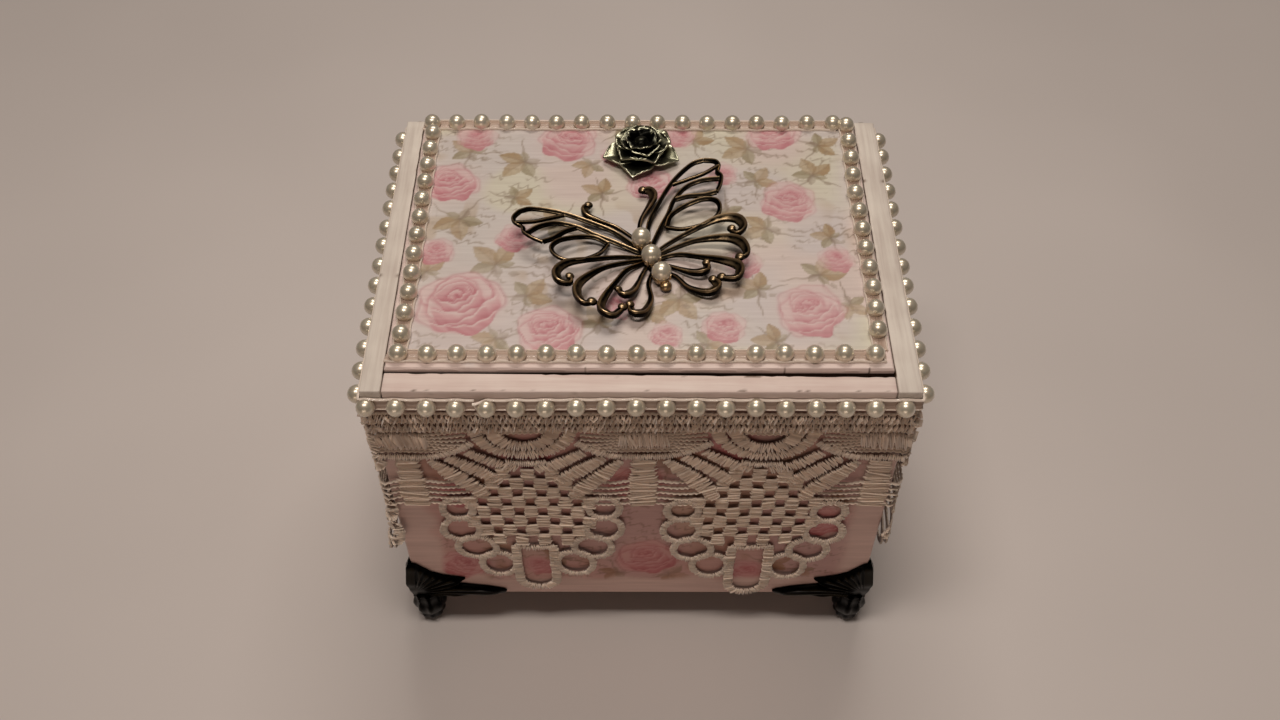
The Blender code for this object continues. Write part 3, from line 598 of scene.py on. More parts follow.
def paint_twig(colour, u, v, x, y, reach, angle, seed):
    """A thin, slightly crooked twig."""
    near = np.hypot(u - x, v - y) < reach * 1.1
    along, side = turned(u[near] - x, v[near] - y, angle)
    crook = 0.9 * np.sin(along * 0.28 + seed) - 0.9 * math.sin(seed) + 0.25 * np.sin(along * 1.1 + 2 * seed)
    thick = 0.30 * ease(reach, 0, along) + 0.16
    ink = bell(side - crook, thick) * (along > 0) * ease(reach, reach * 0.8, along)
    colour[near] = laid_over(colour[near], SEPIA, 0.50 * ink)


def paint_spray(colour, u, v, x, y, size, turn):
    """Leaves and twigs from one point."""
    for k, bend in enumerate(TWIG_BENDS):
        paint_twig(colour, u, v, x, y, size * (1.5 - 0.2 * k), turn + bend, turn + k)
    for k, (swing, share) in enumerate(SPRAY_LEAVES):
        tint = LEAF_OLIVE if k % 2 else LEAF_TAN
        paint_leaf(colour, u, v, x, y, size * share, turn + swing, tint, 0.88 - 0.12 * k)
    wilted = 0.35 * size
    paint_leaf(colour, u, v, x, y, wilted * 1.6, turn + 2.6, SEPIA, 0.45)
    paint_leaf(colour, u, v, x + wilted, y - wilted, wilted, turn + 4.0, SEPIA, 0.35)


print("a spray has", len(SPRAY_LEAVES), "fresh leaves, two wilted ones and", len(TWIG_BENDS), "twigs")

# %% [markdown]
# Faint writing runs behind the flowers. Here it is rows of joined loops that say nothing. The paper
# is then built up in order: washes of colour, the writing, the sprays, the roses, and last a thin
# veil and the strokes of the varnish brush. The front and the lid have their flowers listed one by
# one, and the hidden walls have theirs strewn at random.


# %% Script
def script_strokes(u, v, seed):
    """Rows of joined loops that look written and say nothing."""
    row_gap, slope = 3.9, 0.10
    raised = v + slope * u
    row = np.floor(raised / row_gap)
    within = raised - row * row_gap - row_gap / 2
    start = cloud(row * 7.3, row * 3.1, 1, seed) * 40
    slanted = u - 0.6 * within
    pen = 2.3 * (cloud(slanted, row * 7.0, 0.85, seed + 1) - 0.5) + 0.5 * np.sin(1.7 * slanted + start)
    words = ease(-0.45, 0.0, np.sin(0.36 * u + start * 3))
    ink = bell(within - pen * words, 0.42) * words
    return ink * ease(0.36, 0.62, cloud(u, v, 19, seed + 3))


# %% Rose paper
def rose_paper(u, v, roses, sprays, seed, tint):
    """The whole paper in screen colours. tint dulls it as a whole."""
    colour = np.ones(u.shape + (3,)) * CREAM
    colour = laid_over(colour, BLUSH, 0.9 * ease(0.22, 0.52, cloud(u, v, 22, seed)))
    colour = laid_over(colour, LILAC, 0.8 * ease(0.42, 0.70, cloud(u, v, 19, seed + 1)))
    blotches = ease(0.62, 0.85, cloud(u, v, 6, seed + 2)) * ease(0.4, 0.7, cloud(u, v, 26, seed + 4))
    colour = laid_over(colour, LEAF_TAN, 0.30 * blotches)
    colour = laid_over(colour, SEPIA, 0.46 * script_strokes(u, v, seed + 5))
    for x, y, size, turn in sprays:
        paint_spray(colour, u, v, x, y, size, turn)
    for k, (x, y, radius, strength) in enumerate(roses):
        paint_rose(colour, u, v, x, y, radius, strength, seed + 11 * k)
    veil = 0.04 + 0.16 * cloud(u, v, 9, seed + 8)
    colour = laid_over(colour, (0.92, 0.87, 0.85), veil)
    brush = cloud(u / 12, v, 0.9, seed + 6) - 0.5
    return np.clip((colour + 0.022 * brush[..., None]) * tint, 0, 1)


# %% Flowers at random
def scattered(width, height, gap, seed):
    """Roses and sprays strewn over a panel of any size, on a loosened grid."""
    rng = np.random.default_rng(seed)
    roses, sprays = [], []
    columns, rows = max(1, round(width / gap)), max(1, round(height / gap))
    for i in range(columns):
        for j in range(rows):
            x = (i + 0.5) * width / columns - width / 2 + rng.uniform(-0.2, 0.2) * gap
            y = (j + 0.5) * height / rows - height / 2 + rng.uniform(-0.2, 0.2) * gap
            if (i + j) % 2:
                sprays.append((x, y, rng.uniform(8, 11), rng.uniform(0, math.tau)))
            else:
                roses.append((x, y, rng.uniform(6.5, 9.5), rng.uniform(0.65, 0.9)))
                turn = rng.uniform(0, math.tau)
                reach = roses[-1][2]
                sprays.append((x + reach * math.cos(turn), y + reach * math.sin(turn), 8.0, turn))
    return roses, sprays


# %% [markdown]
# ## Painted wood
#
# The frame round the lid is brushed with paint, blush on the rail in front and off-white on the two
# side boards. It has dried in fine ridges along each board. Noise stretched along the board gives the
# ridges and their slight change of tone. A second, rarer noise lets the wood show through in small
# worn spots, and so does a number on the mesh, where edges are knocked. That number also colours the
# sides that face the lid as bare wood below their top edge, as painted shade in the gap round the lid.

# %% Paint materials
BLUSH_PAINT = (linear((0.900, 0.835, 0.805)), linear((0.825, 0.730, 0.700)))
OFF_WHITE_PAINT = (linear((0.875, 0.842, 0.805)), linear((0.765, 0.715, 0.680)))
BARE_WOOD_AND_GAP_SHADE = (*linear((0.400, 0.310, 0.240)), 1)
ALONG_X, ALONG_Y = (0.05, 1, 1), (1, 0.05, 1)


def brushed_paint(name, stretch, shades):
    """Paint in a lighter and a darker shade, with its brush marks along one axis."""
    light, shade = shades
    material = new_material(name, 0.48)
    streaks = stretched_noise(material, 900, stretch)
    patches = stretched_noise(material, 60)
    colour = ramp_of(material, streaks, ((0.30, shade), (0.62, light)))
    uneven = ramp_of(material, patches, ((0.35, shade), (0.65, light)))
    colour = mix_colours(material, 0.45, colour, uneven)
    spots = stretched_noise(material, 420, stretch, detail=6, roughness=0.7)
    worn = ramp_of(material, spots, ((0.735, (0, 0, 0)), (0.765, (1, 1, 1))))
    # Worn spots and the mesh's number show bare wood; the number also holds painted shade for the lid's gap.
    for wear_and_gap_shade in (worn, attribute_of(material, "bared_and_gap_shade")):
        colour = mix_colours(material, wear_and_gap_shade, colour, BARE_WOOD_AND_GAP_SHADE)
    colour_with(material, colour)
    bump_with(material, streaks, 0.30, 0.12)
    return material


rail_paint = brushed_paint("brushed_blush_paint", ALONG_X, BLUSH_PAINT)
stile_paint = brushed_paint("brushed_off_white_paint", ALONG_Y, OFF_WHITE_PAINT)


def varnished_print(name, stretch):
    """The pasted paper under varnish: its colours come with the mesh."""
    material = new_material(name, 0.40)
    printed = attribute_of(material, "print", "Color")
    streaks = stretched_noise(material, 1100, stretch)
    tone = ramp_of(material, streaks, ((0.25, (0.90, 0.88, 0.88)), (0.65, (1, 1, 1))))
    colour_with(material, mix_colours(material, 1.0, printed, tone, "MULTIPLY"))
    bump_with(material, streaks, 0.22, 0.10)
    return material


print_x = varnished_print("varnished_print_x", ALONG_X)
print_y = varnished_print("varnished_print_y", ALONG_Y)
print("finishes:", [material.name for material in (rail_paint, stile_paint, print_x, print_y)])

# %% [markdown]
# ## The printed boards
#
# Each wall, and the lid, is one board with a finely divided face to carry the print. It is made
# lying on the bench: a grid, its rim pulled down to the board's thickness and closed underneath. The
# edge of the face is then rounded by an uneven amount, as paint and sanding leave it, and the board
# is set in its place, the lid lying and the walls standing up.

# %% Board maker
PAINT_EDGE = 0.15


def lay_board(name, width, height, thickness, cell, paint_depth):
    """A board with its divided face up, at Z 0, and two lines round its sides where the paint ends."""
    columns, rows = round(width / cell), round(height / cell)
    bpy.ops.mesh.primitive_grid_add(x_subdivisions=columns, y_subdivisions=rows, size=1)
    board = bpy.context.object
    board.name = name
    bpy.ops.object.mode_set(mode="EDIT")
    bpy.ops.transform.resize(value=(width * MM, height * MM, 1))
    bpy.ops.mesh.select_mode(type="EDGE")
    bpy.ops.mesh.select_all(action="DESELECT")
    bpy.ops.mesh.select_non_manifold()
    bpy.ops.mesh.extrude_region_move(TRANSFORM_OT_translate={"value": (0, 0, -thickness * MM)})
    bpy.ops.mesh.edge_face_add()
    for depth in (paint_depth, paint_depth + PAINT_EDGE):
        bpy.ops.mesh.select_all(action="SELECT")
        bpy.ops.mesh.bisect(plane_co=(0, 0, -depth * MM), plane_no=(0, 0, 1))
    bpy.ops.object.mode_set(mode="OBJECT")
    return board


# %% The rim and the print of a board
def wear_rim(board, width, height, seed):
    """Round the face's rim unevenly, and give the points' places on the face."""
    points = points_of(board)
    u, v = points[:, 0], points[:, 1]
    inset = np.minimum(width / 2 - np.abs(u), height / 2 - np.abs(v))
    radius = 0.35 + 0.5 * cloud(u, v, 5, seed)
    top = points[:, 2] > -0.01
    fall = radius - np.sqrt(np.maximum(radius**2 - np.maximum(radius - inset, 0) ** 2, 0))
    points[:, 2] -= np.where(top & (inset < radius), fall, 0)
    set_points(board, points)
    return u, v, inset


def store_print(board, colours):
    """Screen colours, made linear, as a colour for each point."""
    layer = board.data.color_attributes.new("print", "FLOAT_COLOR", "POINT")
    full = np.ones((len(colours), 4), np.float32)
    full[:, :3] = np.where(colours > 0.04, ((colours + 0.055) / 1.055) ** 2.4, colours / 12.92)
    layer.data.foreach_set("color", full.ravel())


# %% A printed board
# Raw wood for chips and the walls' bare inner face, and painted shade on the lid's sides in its gap.
RAW_WOOD_AND_GAP_SHADE = (0.22, 0.15, 0.11)


def printed_board(name, node, size, cell, paint_depth, paper, turn, place, material, seed):
    """A board with its face painted by paper(u, v), chipped at its rim, turned and set in place."""
    board = lay_board(name, *size, cell, paint_depth)
    u, v, inset = wear_rim(board, size[0], size[1], seed)
    chipped = ease(0.93, 0.96, cloud(u, v, 2.2, seed + 5)) * ease(0.9, 0.2, inset)
    # Dark below the paint depth: bare wood on the walls' inner face, painted gap shade on the lid's sides.
    below = ease(-paint_depth, -paint_depth - PAINT_EDGE, points_of(board)[:, 2])
    store_print(board, laid_over(paper(u, v), RAW_WOOD_AND_GAP_SHADE, np.maximum(chipped * 0.8, below)))
    board.rotation_euler = turn
    board.location = [p * MM for p in place]
    dress(board, material, "painted_wood", node, smooth_deg=35)


def with_margins(paper, left, right, bottom, top, seed, paint):
    """A paper that ends inside its board, with brushed paint round it and soft, uneven edges."""
    def cover(u, v):
        ragged = 5.0 * (cloud(u, v, 7, seed) - 0.5)
        inset = np.minimum(np.minimum(u - left, right - u), np.minimum(v - bottom, top - v)) + ragged
        margin = np.ones(u.shape + (3,)) * paint
        brush = cloud(u / 14, v, 1.1, seed + 1) - 0.5
        margin = margin + 0.05 * brush[..., None]
        return laid_over(margin, paper(u, v), ease(-2.0, 2.5, inset))

    return cover


# %% [markdown]
# The lid's roses are listed one by one: one large and deep one at the front left, others paler and
# smaller, and a thin scatter between them. Its board lies on the bench as it lies on the box.

# %% Lid
LID_SIZE = lid_high - lid_low
LID_CELL = 0.45
# Below this depth the lid's sides are coloured raw wood: painted shade for the gap round the lid.
LID_PAINT_DEPTH = 1.75
# Across and up from the lid's middle, radius and strength of a rose
LID_ROSES = (
    (-53, -31, 12.5, 0.97), (-26, -42, 9.0, 0.85), (-24, 43, 9.5, 0.75), (-61, 22, 9.0, 0.80),
    (51, -34, 10.0, 0.74), (48, 13, 9.0, 0.68), (45, 47, 8.5, 0.68), (8, -43, 5.0, 0.60),
    (4, 22, 7.5, 0.85), (-39, -3, 6.0, 0.50), (27, 27, 5.0, 0.45), (32, -14, 5.5, 0.45),
    (-55, 45, 6.5, 0.40), (-7, -31, 6.0, 0.50), (25, -40, 6.0, 0.62), (61, -12, 5.5, 0.36),
    (13, 46, 6.0, 0.50), (-63, -9, 5.5, 0.55), (-8, 36, 5.0, 0.40),
)
# Across, up, size and turn of a spray
LID_SPRAYS = (
    (-44, -14, 11, 2.3), (-34, -27, 9, 0.9), (-57, 6, 10, 4.8), (-38, 33, 10, 3.9), (-56, 38, 9, 2.4),
    (-26, 4, 9, 3.3), (-40, 16, 7, 0.6), (12, -28, 10, 5.2), (20, -46, 8, 0.9), (36, 40, 10, 3.6),
    (40, 2, 9, 3.6), (57, 27, 9, 1.9), (55, -18, 9, 1.2), (36, -24, 8, 2.6), (-12, -38, 8, 2.0),
    (-12, 18, 8, 2.6), (18, 44, 8, 1.2), (-6, 50, 8, 0.2), (60, -2, 7, 2.9), (28, 10, 7, 5.4),
    (-65, -17, 8, 2.0), (-42, -44, 8, 4.2), (40, -45, 8, 3.0), (60, 42, 8, 0.4), (38, 24, 8, 1.0),
    (-16, 32, 7, 4.4), (3, -34, 7, 0.5), (63, -30, 7, 5.6),
)
LID_TINT = (0.95, 0.975, 0.965)
LID_MARGIN_PAINT = (0.880, 0.800, 0.775)


def lid_paper(u, v):
    return rose_paper(u, v, LID_ROSES, LID_SPRAYS, 3, LID_TINT)


left_margin, right_margin, front_margin, back_margin = 3, 2.5, 3, 1
half_width, half_depth = LID_SIZE[0] / 2, LID_SIZE[1] / 2
across_edges = (-half_width + left_margin, half_width - right_margin)
lid_edges = (*across_edges, -half_depth + front_margin, half_depth - back_margin)
lid_cover = with_margins(lid_paper, *lid_edges, 4, LID_MARGIN_PAINT)
lid_place = (*middle_of("lid")[:2], LID_TOP)
lid_turn = (0, 0, 0)
printed_board(
    "papered_lid", "lid", LID_SIZE, LID_CELL, LID_PAINT_DEPTH, lid_cover, lid_turn, lid_place, print_x, 21
)

# %% [markdown]
# The walls carry the same paper in a duller and warmer tint: partly the paper's own colour, partly
# painted shade, as the walls stand in shade. In the photo only the front one shows, so its flowers
# are listed one by one and its face is divided more finely. The boards are stood up and turned in
# quarters to face outwards.

# %% Walls
WALL_THICKNESS = box_of("front_wall")[1][1] - box_of("front_wall")[0][1]
WALL_BARE_BACK = 0.3
SIDE_MARGIN, LOWER_MARGIN, UPPER_MARGIN = 11, 10.5, 6
FRONT_CELL, PLAIN_CELL = 0.55, 0.9
# Darker and redder than the lid's paper: partly the paper's own tint, partly painted shade.
WALL_TINT_AND_SHADE = (0.90, 0.76, 0.73)
WALL_MARGIN_PAINT = (0.830, 0.700, 0.660)
STREWN_HEIGHT = 80
# Laid out as for the lid, from the middle of the wall
FRONT_ROSES = (
    (-61, -36, 8.5, 0.97), (3, -31, 10.0, 1.0), (36, -40, 7.0, 0.70), (-34, -36, 6.0, 0.55),
    (60, -8, 8.0, 0.92), (-58, 8, 7.5, 0.70), (-2, 14, 9.0, 0.95), (28, 34, 8.0, 0.70),
    (-35, 30, 8.0, 0.70),
)
FRONT_SPRAYS = (
    (-56, -46, 8, 5.6), (10, -41, 9, 5.9), (-8, -40, 7, 4.0), (-27, -30, 8, 3.6), (45, -33, 8, 0.4),
    (62, 4, 8, 1.4), (-50, 16, 8, 0.8), (8, 24, 8, 1.0), (56, -38, 6, 5.2),
)


def wall_board(name, node, width, cell, roses, sprays, quarter, plan, material, seed):
    """A wall's board, stood up, turned by quarters and set at its place in plan."""
    height = wall_high[2] - wall_low[2]

    def paper(u, v):
        return rose_paper(u, v, roses, sprays, seed, WALL_TINT_AND_SHADE)

    side = width / 2 - SIDE_MARGIN
    edges = (-side, side, -height / 2 + LOWER_MARGIN, height / 2 - UPPER_MARGIN)
    cover = with_margins(paper, *edges, seed, WALL_MARGIN_PAINT)
    size = (width, height, WALL_THICKNESS)
    turn = (math.pi / 2, 0, quarter * math.pi / 2)
    place = (*plan, (wall_low[2] + wall_high[2]) / 2)
    paint_depth = WALL_THICKNESS - WALL_BARE_BACK
    printed_board(name, node, size, cell, paint_depth, cover, turn, place, material, seed)


long = wall_high[0] - wall_low[0]
short = box_of("left_wall")[1][1] - box_of("left_wall")[0][1]
strewn_panels = ((long - 30, 34, 5), (short - 20, 32, 6), (short - 20, 32, 8))
strewn = [scattered(width, STREWN_HEIGHT, gap, seed) for width, gap, seed in strewn_panels]
print("roses strewn on the hidden walls:", [len(roses) for roses, sprays in strewn])
front, back, left, right = wall_low[1], wall_high[1], wall_low[0], wall_high[0]
set_by_hand = (FRONT_ROSES, FRONT_SPRAYS)
wall_board("papered_front", "front_wall", long, FRONT_CELL, *set_by_hand, 0, (0, front), print_x, 31)
wall_board("papered_back", "back_wall", long, PLAIN_CELL, *strewn[0], 2, (0, back), print_x, 41)
wall_board("papered_left", "left_wall", short, PLAIN_CELL, *strewn[1], -1, (left, 0), print_y, 51)
wall_board("papered_right", "right_wall", short, PLAIN_CELL, *strewn[2], 1, (right, 0), print_y, 61)

# %% [markdown]
# ## The frame round the lid
#
# Two side boards run from front to back and a rail joins them at the front. Each starts as a cube
# with bevelled edges, is cut into short lengths so that its edges can waver, and gets its corners
# knocked and bared here and there. The sides that face the lid are coloured as bare wood below their
# top edge: painted shade for the dark gap round the lid.

# %% A bevelled board
BEVEL = 0.38
CUT_SPACING = 1.2


def bevelled_board(name, low, high, axis):
    """A cube with rounded edges, cut across along its length and beside each long edge."""
    bpy.ops.mesh.primitive_cube_add(size=1, location=(low + high) / 2 * MM, scale=(high - low) * MM)
    board = bpy.context.object
    board.name = name
    bpy.ops.object.transform_apply(location=True, rotation=True, scale=True)
    bpy.ops.object.mode_set(mode="EDIT")
    bpy.ops.mesh.bevel(offset=BEVEL * MM, segments=3, affect="EDGES")
    x_y_z = np.eye(3)
    cuts = [(x_y_z[axis], place) for place in np.arange(low[axis] + 2.0, high[axis] - 1.0, CUT_SPACING)]
    for other in {0, 1, 2} - {axis}:
        cuts += [(x_y_z[other], low[other] + inset) for inset in (1.1, 1.7)]
        cuts += [(x_y_z[other], high[other] - inset) for inset in (1.1, 1.7)]
    for normal, place in cuts:
        bpy.ops.mesh.select_all(action="SELECT")
        bpy.ops.mesh.bisect(plane_co=normal * place * MM, plane_no=normal)
    bpy.ops.object.mode_set(mode="OBJECT")
    return board


# %% Worn boards
RAIL_BACK = box_of("front_rail")[1][1]


def worn_board(name, node, axis, material, seed, inner, narrowing=(0.0, 0.0)):
    """A board over a solid. inner points to its side in painted gap shade; narrowing moves it at its ends."""
    low, high = box_of(node)
    board = bevelled_board(name, low, high, axis)
    points = points_of(board)
    middle, half = (low + high) / 2, (high - low) / 2
    along = points[:, axis]
    depth = half - np.abs(points - middle)
    depth[:, axis] = 9        # the two ends are no edges here
    shallow = np.sort(depth, axis=1)
    on_edge = ease(1.5, 0.3, shallow[:, 0] + shallow[:, 1])
    knock = 0.16 * ease(0.55, 0.95, cloud(along, seed, 2.5, seed)) * on_edge
    inwards = np.sign(middle - points)
    inwards[:, axis] = 0
    points = points + inwards * knock[:, None] * 0.8
    if any(narrowing):
        share = (along - low[axis]) / (high[axis] - low[axis])
        moved = points[:, 1] > middle[1]
        points[moved, 1] += (narrowing[0] + (narrowing[1] - narrowing[0]) * share)[moved]
    set_points(board, points)
    bared_and_gap_shade = ease(0.88, 0.93, cloud(along, points[:, 1] + points[:, 2], 1.7, seed + 1)) * on_edge
    # The side facing the lid is coloured bare wood below its top edge: painted shade for the gap round the
    # lid.
    towards = (points - middle) @ np.array(inner) - half @ np.abs(inner)
    below_top = ease(high[2] - 0.05, high[2] - 0.30, points[:, 2])
    painted_gap_shade = (towards > -0.3) * below_top * (points[:, 1] > RAIL_BACK - 0.6)
    give_number(board, "bared_and_gap_shade", np.maximum(bared_and_gap_shade * 0.9, painted_gap_shade))
    dress(board, material, "painted_wood", node, smooth_deg=50)


worn_board("frame_left_side", "left_stile", 1, stile_paint, 71, (1, 0, 0))
worn_board("frame_right_side", "right_stile", 1, stile_paint, 72, (-1, 0, 0))
worn_board("frame_front_rail", "front_rail", 0, rail_paint, 73, (0, 1, 0), narrowing=(0.45, -0.65))

# %% [markdown]
# The bottom board shows only from below and when the lid is off. Its plain solid stays, in the brown
# of unpainted cedar.

# %% Cedar
CEDAR_SHADES = ((0.3, linear((0.34, 0.22, 0.15))), (0.7, linear((0.46, 0.32, 0.22))))
inside_wood = new_material("cedar", 0.6)
cedar_grain = stretched_noise(inside_wood, 300, ALONG_X, detail=5)
colour_with(inside_wood, ramp_of(inside_wood, cedar_grain, CEDAR_SHADES))
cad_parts["bottom_board"].material_slots[0].material = inside_wood
print("bottom board in", inside_wood.name)

# %% [markdown]
# ## Pearls
#
# A pearl's skin is glossy and slightly see-through near the surface. A warm ivory base that is partly
# metallic, a clear coat and a little light scattering under the surface give that. The tape
# between the pearls is of plain plastic: its two cords catch the light, and the web between them is
# dull and lets the paint's pink through.

# %% Pearl materials
CORD_VALUE = 0.7
pearl_skin = new_material("pearl_skin", 0.32, metallic=0.6, coat=0.9)
pearl_shader = shader_of(pearl_skin)
pearl_shader.inputs["Coat Roughness"].default_value = 0.20
pearl_shader.inputs["Subsurface Weight"].default_value = 0.15
pearl_shader.inputs["Subsurface Radius"].default_value = (0.0012, 0.0009, 0.0006)
pearl_shader.inputs["Sheen Weight"].default_value = 0.25
pearl_tone = stretched_noise(pearl_skin, 70, detail=2)
PEARL_SHADES = ((0.35, linear((0.850, 0.810, 0.730))), (0.65, linear((0.910, 0.875, 0.800))))
colour_with(pearl_skin, ramp_of(pearl_skin, pearl_tone, PEARL_SHADES))

WEB_COLOUR, CORD_COLOUR = linear((0.705, 0.612, 0.552)), linear((0.945, 0.890, 0.840))
# Near white for the tape's cut end: a painted highlight.
CUT_HIGHLIGHT = linear((0.99, 0.96, 0.91))
tape_plastic = new_material("tape_plastic", 0.36, coat=0.25)
tape_tone = attribute_of(tape_plastic, "cord")
tape_shades = ((0.0, WEB_COLOUR), (CORD_VALUE, CORD_COLOUR), (1.0, CUT_HIGHLIGHT))
colour_with(tape_plastic, ramp_of(tape_plastic, tape_tone, tape_shades))
print("finishes:", pearl_skin.name, "and", tape_plastic.name)

# %% [markdown]
# ## Pearl tape
#
# The trim is moulded in one: half-round pearls on two thin cords with a web between them. One pearl
# is a sphere cut off below, and its points are copied along the run. The tape is a profile swept
# along, and its cords swerve outwards round each pearl. Both are drawn flat, as length, width and
# height, and a mapping function then lays them on the lid or bends them round the box.

# %% One pearl
PEARL_RADIUS = 2.78
PEARL_CENTRE = 1.4
bpy.ops.mesh.primitive_uv_sphere_add(segments=20, ring_count=13, radius=PEARL_RADIUS * MM)
one_pearl = bpy.context.object
bpy.ops.object.mode_set(mode="EDIT")
bpy.ops.mesh.select_all(action="SELECT")
bpy.ops.mesh.bisect(plane_co=(0, 0, -PEARL_CENTRE * MM), plane_no=(0, 0, 1), clear_inner=True, use_fill=True)
bpy.ops.object.mode_set(mode="OBJECT")
PEARL_POINTS = points_of(one_pearl) + [0, 0, PEARL_CENTRE]
PEARL_FACES = faces_of(one_pearl)
bpy.data.objects.remove(one_pearl, do_unlink=True)
print("one pearl has", len(PEARL_FACES), "faces")

# %% Tape
# Across from the middle of the web, and out, over one cord. The length round the box starts at
# TAPE_END, left of the middle of the front, and only it ends in a cut coloured as a painted highlight.
TAPE_HALF = np.array([
    (0.0, 0.40), (0.35, 0.58), (0.75, 0.40), (1.72, 0.42), (1.84, 0.70), (2.02, 0.82), (2.20, 0.70),
    (2.32, 0.35), (2.26, 0.0),
])
TAPE_SECTION = np.vstack([TAPE_HALF[:0:-1] * [-1, 1], TAPE_HALF])
TAPE_STEP = 0.75
TAPE_END = -47.2
CORD_SWERVE = 0.30


def tape_run(start, end, pearls, slant):
    """A flat run of tape as (along, across, out), swerving round its pearls. slant cuts its end askew."""
    across, out = TAPE_SECTION.T
    stations = np.linspace(start, end, max(2, round((end - start) / TAPE_STEP)))
    nearest = np.min(np.abs(stations[:, None] - np.asarray(pearls)[None]), axis=1)
    swerve = CORD_SWERVE * ease(3.4, 0.6, nearest)[:, None] * (np.abs(across) > 1.0)
    rings = np.zeros((len(stations), len(across), 3))
    rings[:, :, 0] = stations[:, None] + slant * across * ease(start + 4, start, stations)[:, None]
    rings[:, :, 1] = across + np.sign(across) * swerve
    rings[:, :, 2] = out
    # The cut end is coloured near white, as a painted highlight.
    painted_end_highlight = ease(start + 0.9, start + 0.2, stations) * (start == TAPE_END)
    cord = np.maximum(CORD_VALUE * ease(1.7, 1.9, np.abs(across)), painted_end_highlight[:, None])
    return rings.reshape(-1, 3), skin_faces(len(stations), len(across)), cord.ravel()


print("the tape's section has", len(TAPE_SECTION), "points")

# %% [markdown]
# A pearl has to stand upright on its tape also where the tape bends. So the mapping is asked for four
# marks at the pearl's place, and the one pearl is turned to fit them, a little askew each time.


# %% Tape with its pearls
def set_pearl_copy(place, mapping, rng):
    """The one pearl, stood on the mapped tape at a place along it."""
    x, y = place + rng.normal(0, 0.10), rng.normal(0, 0.10)
    marks = mapping(np.array([[x, y, 0.05], [x, y, 1.05], [x - 0.4, y, 0.05], [x + 0.4, y, 0.05]]))
    out = marks[1] - marks[0]
    out /= np.linalg.norm(out)
    ahead = marks[3] - marks[2]
    ahead = ahead - out * (ahead @ out)
    ahead /= np.linalg.norm(ahead)
    return marks[0] + PEARL_POINTS @ np.array([ahead, np.cross(out, ahead), out])


def pearl_trim(name, node, start, end, pearls, mapping, slant):
    """A length of tape mapped into place, with its pearls, each in its own material."""
    points, faces, cord = tape_run(start, end, pearls, slant)
    parts = [(mapping(points), faces)]
    rng = np.random.default_rng(len(pearls))
    parts += [(set_pearl_copy(place, mapping, rng), PEARL_FACES) for place in pearls]
    tape_faces = len(faces)
    points, faces = joined(parts)
    piece = piece_from(name, points, faces)
    piece.data.materials.append(pearl_skin)
    piece.data.materials.append(tape_plastic)
    kinds = np.zeros(len(faces), np.int32)
    kinds[:tape_faces] = 1
    piece.data.polygons.foreach_set("material_index", kinds)
    give_number(piece, "cord", np.pad(cord, (0, len(points) - len(cord))))
    face_outwards(piece)
    dress(piece, pearl_skin, "pearl", node, smooth_deg=45)


# %% [markdown]
# ## Pearls on the lid
#
# Four lengths lie on the lid, cut bare at their ends. The front length runs to the lid's left edge
# and the right one to its back corner, and the hand that glued them was not perfectly straight.

# %% Lay the four lengths on the lid
TAPE_SINKS = 0.25
LID_BED = box_of("lid_pearls_front")[0][2] - TAPE_SINKS


def lid_mapping(start, heading_deg, seed):
    """Lays (along, across, out) on the lid from a start point in a direction, with a slight waver."""
    ahead = np.array([math.cos(math.radians(heading_deg)), math.sin(math.radians(heading_deg))])
    left = np.array([-ahead[1], ahead[0]])

    def place(points):
        waver = 0.5 * (cloud(points[:, 0], 0, 22, seed) - 0.5)
        plan = start + points[:, :1] * ahead + (points[:, 1] + waver)[:, None] * left
        return np.column_stack([plan, LID_BED + points[:, 2]])

    return place


def lid_length(name, node, start, heading_deg, length, count, first, last, seed):
    """Tape with a count of pearls, first and last being the bare lengths before and after them."""
    pearls = list(np.linspace(first, length - last, count))
    pearl_trim(name, node, 0, length, pearls, lid_mapping(np.array(start), heading_deg, seed), slant=0.25)


left_edge = lid_low[0] + 0.2
front_start = (left_edge, middle_of("lid_pearls_front")[1])
back_start = (left_edge, middle_of("lid_pearls_back")[1])
left_start = (middle_of("lid_pearls_left")[0] + 1.0, box_of("lid_pearls_left")[0][1])
right_start = (middle_of("lid_pearls_right")[0] - 0.4, box_of("lid_pearls_right")[0][1])
lid_length("pearls_lid_front", "lid_pearls_front", front_start, 0, 144.0, 17, 3.4, 3.4, 1)
lid_length("pearls_lid_back", "lid_pearls_back", back_start, 0, 139.6, 17, 2.6, 1.2, 2)
lid_length("pearls_lid_left", "lid_pearls_left", left_start, 90, 96.0, 12, 4.5, 1.9, 3)
lid_length("pearls_lid_right", "lid_pearls_right", right_start, 90, 103.0, 12, 6.5, 4.4, 4)

# %% [markdown]
# ## Pearls round the box
#
# The last length runs round the edge of the frame. It is drawn straight and then bent round the four
# corners by a function that turns a distance along the tape into a place on the frame's outline. Its
# two ends meet on the front, and one of them stands off as a small sliver with a painted highlight.

# %% Bend a strip round an outline
def around(way, out, half_width, depth, corner):
    """Plan place of points at a distance along an upright strip and out from it.

    way is 0 in the middle of the front and grows to the right. corner is the strip's length at a turn.
    """
    turn = np.pi / 2
    legs = (half_width, half_width + corner, half_width + corner + depth, half_width + 2 * corner + depth)
    walked, side = np.abs(way), np.sign(way) + (way == 0)
    angle_front = np.clip((walked - legs[0]) / corner, 0, 1) * turn
    angle_back = np.clip((walked - legs[2]) / corner, 0, 1) * turn
    angle = angle_front + angle_back
    x = np.minimum(walked, half_width) - np.maximum(walked - legs[3], 0)
    y = -depth / 2 + np.clip(walked - legs[1], 0, depth)
    x = x + out * np.sin(angle)
    y = y - out * np.cos(angle)
    return side * x, y


